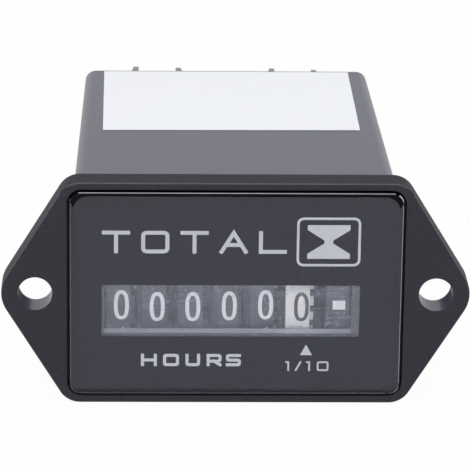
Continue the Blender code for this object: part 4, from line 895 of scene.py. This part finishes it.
bm = bmesh.new()
loops = []
for degrees in LENS_TURNS:
    share = 1 - math.sin(math.radians(degrees))
    inset = LENS_EDGE * share
    depth = LENS_EDGE * (1 - math.cos(math.radians(degrees)))
    corner = LENS_CORNER + (LENS_FACE_CORNER - LENS_CORNER) * share
    outline = rounded(lens_low[0] + inset, lens_high[0] - inset, lens_low[2] + inset, lens_high[2] - inset,
                      corner, 8)
    loops.append(ring_at(bm, outline, lens_low[1] + depth))
full = rounded(lens_low[0], lens_high[0], lens_low[2], lens_high[2], LENS_CORNER, 8)
loops.append(ring_at(bm, full, lens_high[1]))
skin(bm, *loops)
cover(bm, loops[0])
cover(bm, loops[-1])
# Polished acrylic. Its IOR is lower than the real 1.49, because a wholly white room would otherwise lay
# a stronger veil on the dial than the real lens shows.
acrylic = bpy.data.materials.new("clear_acrylic")
acrylic.use_nodes = True
shader = acrylic.node_tree.nodes["Principled BSDF"]
shader.inputs["Base Color"].default_value = ACRYLIC_TINT
shader.inputs["Transmission Weight"].default_value = 1.0
shader.inputs["Roughness"].default_value = 0.0
shader.inputs["IOR"].default_value = ACRYLIC_IOR
# The edge is painted black as a painted dark reflection, and pale or dim grey along thin lines as a painted
# highlight.
painted_dark_edge = moulded("lens_edge_painted_dark_reflection", "07070b", 0.5, 0.6 * MM, 0.001 * MM, tone=0.1, gloss=0.05)
painted_highlight_edge = moulded("lens_edge_painted_highlight", "b9b9c8", 0.3, 0.6 * MM, 0.001 * MM, tone=0.1)
lens_edge_painted_dim_highlight = moulded("lens_edge_painted_dim_highlight", "6c6c78", 0.3, 0.6 * MM, 0.001 * MM, tone=0.1)
lens = keep(bm, "clear_lens", acrylic)
PAINTED_DARK, PAINTED_HIGHLIGHT, PAINTED_DIM = 1, 2, 3
for edge_paint in (painted_dark_edge, painted_highlight_edge, lens_edge_painted_dim_highlight):
    lens.data.materials.append(edge_paint)
# Each face of the rounded edge gets painted highlight, dim painted highlight or painted dark reflection by
# the way it faces.
for face in lens.data.polygons:
    tilt = math.degrees(math.acos(max(-1, min(1, -face.normal.y))))
    flat_front_or_back = tilt < 2 or tilt > 92
    if flat_front_or_back:
        continue
    towards = math.degrees(math.atan2(face.normal.z, face.normal.x))
    on_side_line = HIGHLIGHT_SIDES[0] < tilt < HIGHLIGHT_SIDES[1]
    if abs(towards - 90) < TOP_SPAN and HIGHLIGHT_TOP[0] < tilt < HIGHLIGHT_TOP[1]:
        face.material_index = PAINTED_HIGHLIGHT
    elif on_side_line and abs(towards) < SIDE_SPAN:
        face.material_index = PAINTED_HIGHLIGHT
    elif on_side_line and not 20 < towards < 160:
        face.material_index = PAINTED_DIM
    elif 8 < towards < 172 or tilt > 88:
        face.material_index = PAINTED_DARK
smooth(lens)
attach(lens, "case")
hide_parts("lens")

# Housing.
# Flange and case are one black moulding. The flange has a fine spark-eroded texture and the case
# walls are smoother and lean in slightly towards the rear, so that the part leaves its mould.
HOLE_X = 25.4
HOLE_RADIUS = 2.185
FLANGE_SLOPE = 31.5
TIP_RADIUS = 4.28
FLANGE_CORNER = 3.0
FLANGE_EDGE = 0.18
BACK_EDGE = 0.2
HOLE_EDGE = 0.05
POCKET = (21.325, 13.825, 1.8)
POCKET_FLOOR = 2.3
POCKET_EDGE = 0.15
FLANGE_BACK = 4.3
CASE_HALF = (20.675, 12.95)
CASE_WALL = 1.5
CASE_CORNER = 1.5
CAVITY_CORNER = 0.4
REAR_EDGE = 0.5
DRAFT = math.tan(math.radians(0.85))
TERMINALS = (-9.3, 9.0)
TERMINAL_Z = 7.55
INSERT_HOLE = 2.7
BOSS_RADIUS = 3.6
BOSS_LENGTH = 2.6
HOLE_BOSS = 3.0
CASE_FINISH_REACH = 19.5
housing_low, housing_high = [[c / MM for c in corner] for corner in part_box("housing")]
flange_front = housing_low[1]
case_rear = housing_high[1]


def flange_outline(inset=0.0):
    """The flange's outline drawn in by an inset: round tips, sloped sides and round corners."""
    slope = math.radians(FLANGE_SLOPE)
    corner_z = housing_high[2] - FLANGE_CORNER
    reach = HOLE_X * math.cos(slope) + TIP_RADIUS - FLANGE_CORNER
    corner_x = (reach - corner_z * math.sin(slope)) / math.cos(slope)
    tip = TIP_RADIUS - inset
    corner = FLANGE_CORNER - inset
    points = []
    for cx, cz, radius, start, end in (
        (HOLE_X, 0, tip, -FLANGE_SLOPE, FLANGE_SLOPE),
        (corner_x, corner_z, corner, FLANGE_SLOPE, 90),
        (-corner_x, corner_z, corner, 90, 180 - FLANGE_SLOPE),
        (-HOLE_X, 0, tip, 180 - FLANGE_SLOPE, 180 + FLANGE_SLOPE),
        (-corner_x, -corner_z, corner, 180 + FLANGE_SLOPE, 270),
        (corner_x, -corner_z, corner, 270, 360 - FLANGE_SLOPE),
    ):
        points += bow(cx, cz, radius, radius, start, end, 10)
    return points


def case_outline(depth, inset, corner):
    """The case's section at a depth, with its draft, drawn in by an inset."""
    lean = (depth - FLANGE_BACK) * DRAFT + inset
    half_x, half_z = CASE_HALF[0] - lean, CASE_HALF[1] - lean
    return rounded(-half_x, half_x, -half_z, half_z, corner, 6)


def disc(x, z, radius, steps=40):
    """Points round a circle."""
    return bow(x, z, radius, radius, 0, 360 - 360 / steps, steps - 1)


bm = bmesh.new()
front_loops = [ring_at(bm, flange_outline(inset), flange_front + depth)
               for inset, depth in edge_steps(FLANGE_EDGE)]
back_loops = [ring_at(bm, flange_outline(inset), FLANGE_BACK - depth)
              for inset, depth in reversed(edge_steps(BACK_EDGE, 3))]
skin(bm, *front_loops, *back_loops)
half_x, half_z, corner = POCKET
pocket_loops = []
for off, depth in edge_steps(POCKET_EDGE, 3):
    wider = rounded(-half_x - off, half_x + off, -half_z - off, half_z + off, corner + off)
    pocket_loops.append(ring_at(bm, wider, flange_front + depth))
pocket_floor = ring_at(bm, rounded(-half_x, half_x, -half_z, half_z, corner), POCKET_FLOOR)
skin(bm, *pocket_loops, pocket_floor)
hole_fronts = []
hole_backs = []
for side in (-1, 1):
    loops = [ring_at(bm, disc(side * HOLE_X, 0, HOLE_RADIUS + off), flange_front + depth)
             for off, depth in edge_steps(HOLE_EDGE, 3)]
    loops += [ring_at(bm, disc(side * HOLE_X, 0, HOLE_RADIUS + off), FLANGE_BACK - depth)
              for off, depth in reversed(edge_steps(HOLE_EDGE, 3))]
    skin(bm, *loops)
    hole_fronts.append(loops[0])
    hole_backs.append(loops[-1])
cover(bm, front_loops[0], pocket_loops[0], *hole_fronts)
cavity_front = ring_at(bm, case_outline(POCKET_FLOOR, CASE_WALL, CAVITY_CORNER), POCKET_FLOOR)
inner_rear = case_rear - CASE_WALL
cavity_rear = ring_at(bm, case_outline(inner_rear, CASE_WALL, CAVITY_CORNER), inner_rear)
skin(bm, cavity_front, cavity_rear)
cover(bm, pocket_floor, cavity_front)
case_front = ring_at(bm, case_outline(FLANGE_BACK, 0, CASE_CORNER), FLANGE_BACK)
edge_begins = case_rear - REAR_EDGE
case_loops = [case_front, ring_at(bm, case_outline(edge_begins, 0, CASE_CORNER), edge_begins)]
for inset, depth in list(reversed(edge_steps(REAR_EDGE, 4)))[1:]:
    case_loops.append(ring_at(bm, case_outline(case_rear, inset, CASE_CORNER - inset), case_rear - depth))
skin(bm, *case_loops)
cover(bm, back_loops[-1], case_front, *hole_backs)
boss_roots = []
hole_rears = []
for terminal_x in TERMINALS:
    root = ring_at(bm, disc(terminal_x, TERMINAL_Z, BOSS_RADIUS), inner_rear)
    end = ring_at(bm, disc(terminal_x, TERMINAL_Z, BOSS_RADIUS), inner_rear - BOSS_LENGTH)
    mouth = ring_at(bm, disc(terminal_x, TERMINAL_Z, INSERT_HOLE), inner_rear - BOSS_LENGTH)
    rear = ring_at(bm, disc(terminal_x, TERMINAL_Z, INSERT_HOLE), case_rear)
    skin(bm, root, end)
    skin(bm, mouth, rear)
    cover(bm, end, mouth)
    boss_roots.append(root)
    hole_rears.append(rear)
cover(bm, cavity_rear, *boss_roots)
cover(bm, case_loops[-1], *hole_rears)


def black_abs(name, hex_colour, roughness, grain, depth, gloss, tone=0.1, coarse=5.0):
    """Black ABS as moulded: its grain comes from the mould, coarse on the flange and fine on the case."""
    return moulded(name, hex_colour, roughness, grain, depth, tone=tone, coarse=coarse, gloss=gloss)


# The flange is matt and its texture is drawn coarser than the real grit, to show. The case is satin and
# mirrors the room a little. The flange's front edge is smoother, glossier and a lighter grey, a painted
# highlight, and its rim is a darker, duller copy of its finish, a painted shade. The pocket's floor has the
# finish of the case: it shows as a thin line below the lens.
flange_abs = black_abs("textured_black_abs", "2b2a31", 0.62, 0.2 * MM, 0.08 * MM, 0.16, 0.6, 0.3)
case_abs = black_abs("satin_black_abs", "2a2a42", 0.32, 0.3 * MM, 0.005 * MM, 0.58)
edge_highlight_abs = black_abs("black_abs_painted_edge_highlight", "302f38", 0.4, 0.15 * MM, 0.05 * MM, 0.5, 0.5, 0.4)
rim_shade_abs = black_abs("flange_rim_painted_shade", "28272e", 0.64, 0.2 * MM, 0.08 * MM, 0.125, 0.6, 0.3)
housing = keep(bm, "moulded_housing", flange_abs)
CASE_FINISH, EDGE_HIGHLIGHT, RIM_SHADE = 1, 2, 3
for finish in (case_abs, edge_highlight_abs, rim_shade_abs):
    housing.data.materials.append(finish)
for face in housing.data.polygons:
    x, y, z = face.center / MM
    from_hole = math.hypot(abs(x) - HOLE_X, z)
    beyond_pocket = abs(z) > POCKET[1] + 0.3
    # The flange's side walls get a darker, duller copy of its finish: painted shade.
    if abs(face.normal.y) < 0.1 and y < FLANGE_BACK and beyond_pocket:
        face.material_index = RIM_SHADE
    # The rounded front edge gets a lighter, glossier copy of the finish: a painted highlight.
    on_edge = y < flange_front + FLANGE_EDGE and -0.98 < face.normal.y < -0.1
    if on_edge and (abs(x) > POCKET[0] + 1 or beyond_pocket) and from_hole > HOLE_BOSS:
        face.material_index = EDGE_HIGHLIGHT
    behind_lens = y > POCKET_FLOOR - 0.001 and abs(x) < CASE_FINISH_REACH
    if from_hole < HOLE_RADIUS + 0.01 or y > FLANGE_BACK + 0.01 or behind_lens:
        face.material_index = CASE_FINISH
smooth(housing)
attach(housing, "case")
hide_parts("housing")

# Label.
# A smooth white paper sticker, left bare, laid on the case's top and ending just short of its rear edge.
LABEL_SHORT = 0.45
LABEL_SKEW = (0.1, 0.35)
LABEL_THICK = 0.06
label_low, label_high = [[c / MM for c in corner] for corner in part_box("label")]
label_bottom = label_low[2] + (label_high[1] - label_low[1]) * DRAFT
label_ends = (label_low[1], label_high[1] - LABEL_SHORT)
bm = bmesh.new()
label_loops = []
label_corners = [
    (label_low[0] + LABEL_SKEW[0], label_ends[0]), (label_high[0], label_ends[0] + LABEL_SKEW[1]),
    (label_high[0], label_ends[1]), (label_low[0], label_ends[1]),
]
for height in (label_bottom, label_bottom + LABEL_THICK):
    verts = [bm.verts.new((x, y, height - (y - label_low[1]) * DRAFT)) for x, y in label_corners]
    label_loops.append([bm.edges.new((verts[i - 1], verts[i])) for i in range(4)])
skin(bm, *label_loops)
cover(bm, label_loops[0])
cover(bm, label_loops[1])
# Coated paper: even, bluish white and barely glossy.
label_paper = moulded("white_label_paper", "eef0f6", 0.5, 0.25 * MM, 0.004 * MM, tone=0.01)
label = keep(bm, "blank_label", label_paper)
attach(label, "case")
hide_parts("label")

# Terminals.
# Zinc-plated saddle clamps, pressed from sheet with their edges broken, and slotted screws, on brass
# inserts in the rear wall. Each clamp sits a little off its screw's middle and turned on it.
CLAMP_HALF = 3.5
CLAMP_PLATE = 0.7
CLAMP_EDGE = 0.08
CLAMP_HOLE = 1.8
EAR_ROOT = 1.3
EAR_TIP = 0.74
EAR_FACES = ((-12.42, -7.14), (6.96, 12.2))
CLAMP_TURNS = (1.3, 1.7)
CLAMP_DROPS = (0.12, 0.3)
# Zinc plate is a dull bluish grey with faint rolling lines.
zinc_plate = metal("zinc_plate", "838285", 0.34, 0.25 * MM, "Z")
for place, side in enumerate(("left", "right")):
    screw_x = TERMINALS[place]
    left_face, right_face = EAR_FACES[place]
    middle_z = TERMINAL_Z - CLAMP_DROPS[place]
    clamp_low, clamp_high = [[c / MM for c in corner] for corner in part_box(f"terminal_clamp_{side}")]
    plate_back = clamp_low[1] + CLAMP_PLATE
    plan = [
        (left_face - EAR_ROOT, clamp_low[1]), (right_face + EAR_ROOT, clamp_low[1]),
        (right_face + EAR_TIP, clamp_high[1]), (right_face, clamp_high[1]),
        (right_face, plate_back), (left_face, plate_back),
        (left_face, clamp_high[1]), (left_face - EAR_TIP, clamp_high[1]),
    ]
    bm = bmesh.new()
    clamp_loops = []
    for z in (middle_z - CLAMP_HALF, middle_z + CLAMP_HALF):
        verts = [bm.verts.new((x, y, z)) for x, y in plan]
        clamp_loops.append([bm.edges.new((verts[i - 1], verts[i])) for i in range(len(verts))])
    skin(bm, *clamp_loops)
    cover(bm, clamp_loops[0])
    cover(bm, clamp_loops[1])
    bmesh.ops.recalc_face_normals(bm, faces=bm.faces)
    sharp = [e for e in bm.edges if e.calc_face_angle(0) > SHARP]
    bmesh.ops.bevel(bm, geom=sharp, offset=CLAMP_EDGE, segments=2, profile=0.5, affect="EDGES", material=-1)
    turned = Matrix.Rotation(math.radians(CLAMP_TURNS[place]), 3, "Y")
    bmesh.ops.rotate(bm, cent=(screw_x, 0, middle_z), matrix=turned, verts=bm.verts)
    clamp = keep(bm, f"saddle_clamp_{side}", zinc_plate)
    bm = bmesh.new()
    bmesh.ops.create_cone(bm, cap_ends=True, segments=32, radius1=CLAMP_HOLE, radius2=CLAMP_HOLE, depth=3)
    bmesh.ops.rotate(bm, cent=(0, 0, 0), matrix=Matrix.Rotation(math.radians(90), 3, "X"), verts=bm.verts)
    bmesh.ops.translate(bm, vec=(screw_x, clamp_low[1], TERMINAL_Z), verts=bm.verts)
    clamp = smooth(united(clamp, keep(bm, "clamp_hole", zinc_plate), "DIFFERENCE"), 30)
    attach(clamp, "case")
    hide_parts(f"terminal_clamp_{side}")
paint(["terminal_screw_left", "terminal_screw_right"], zinc_plate)
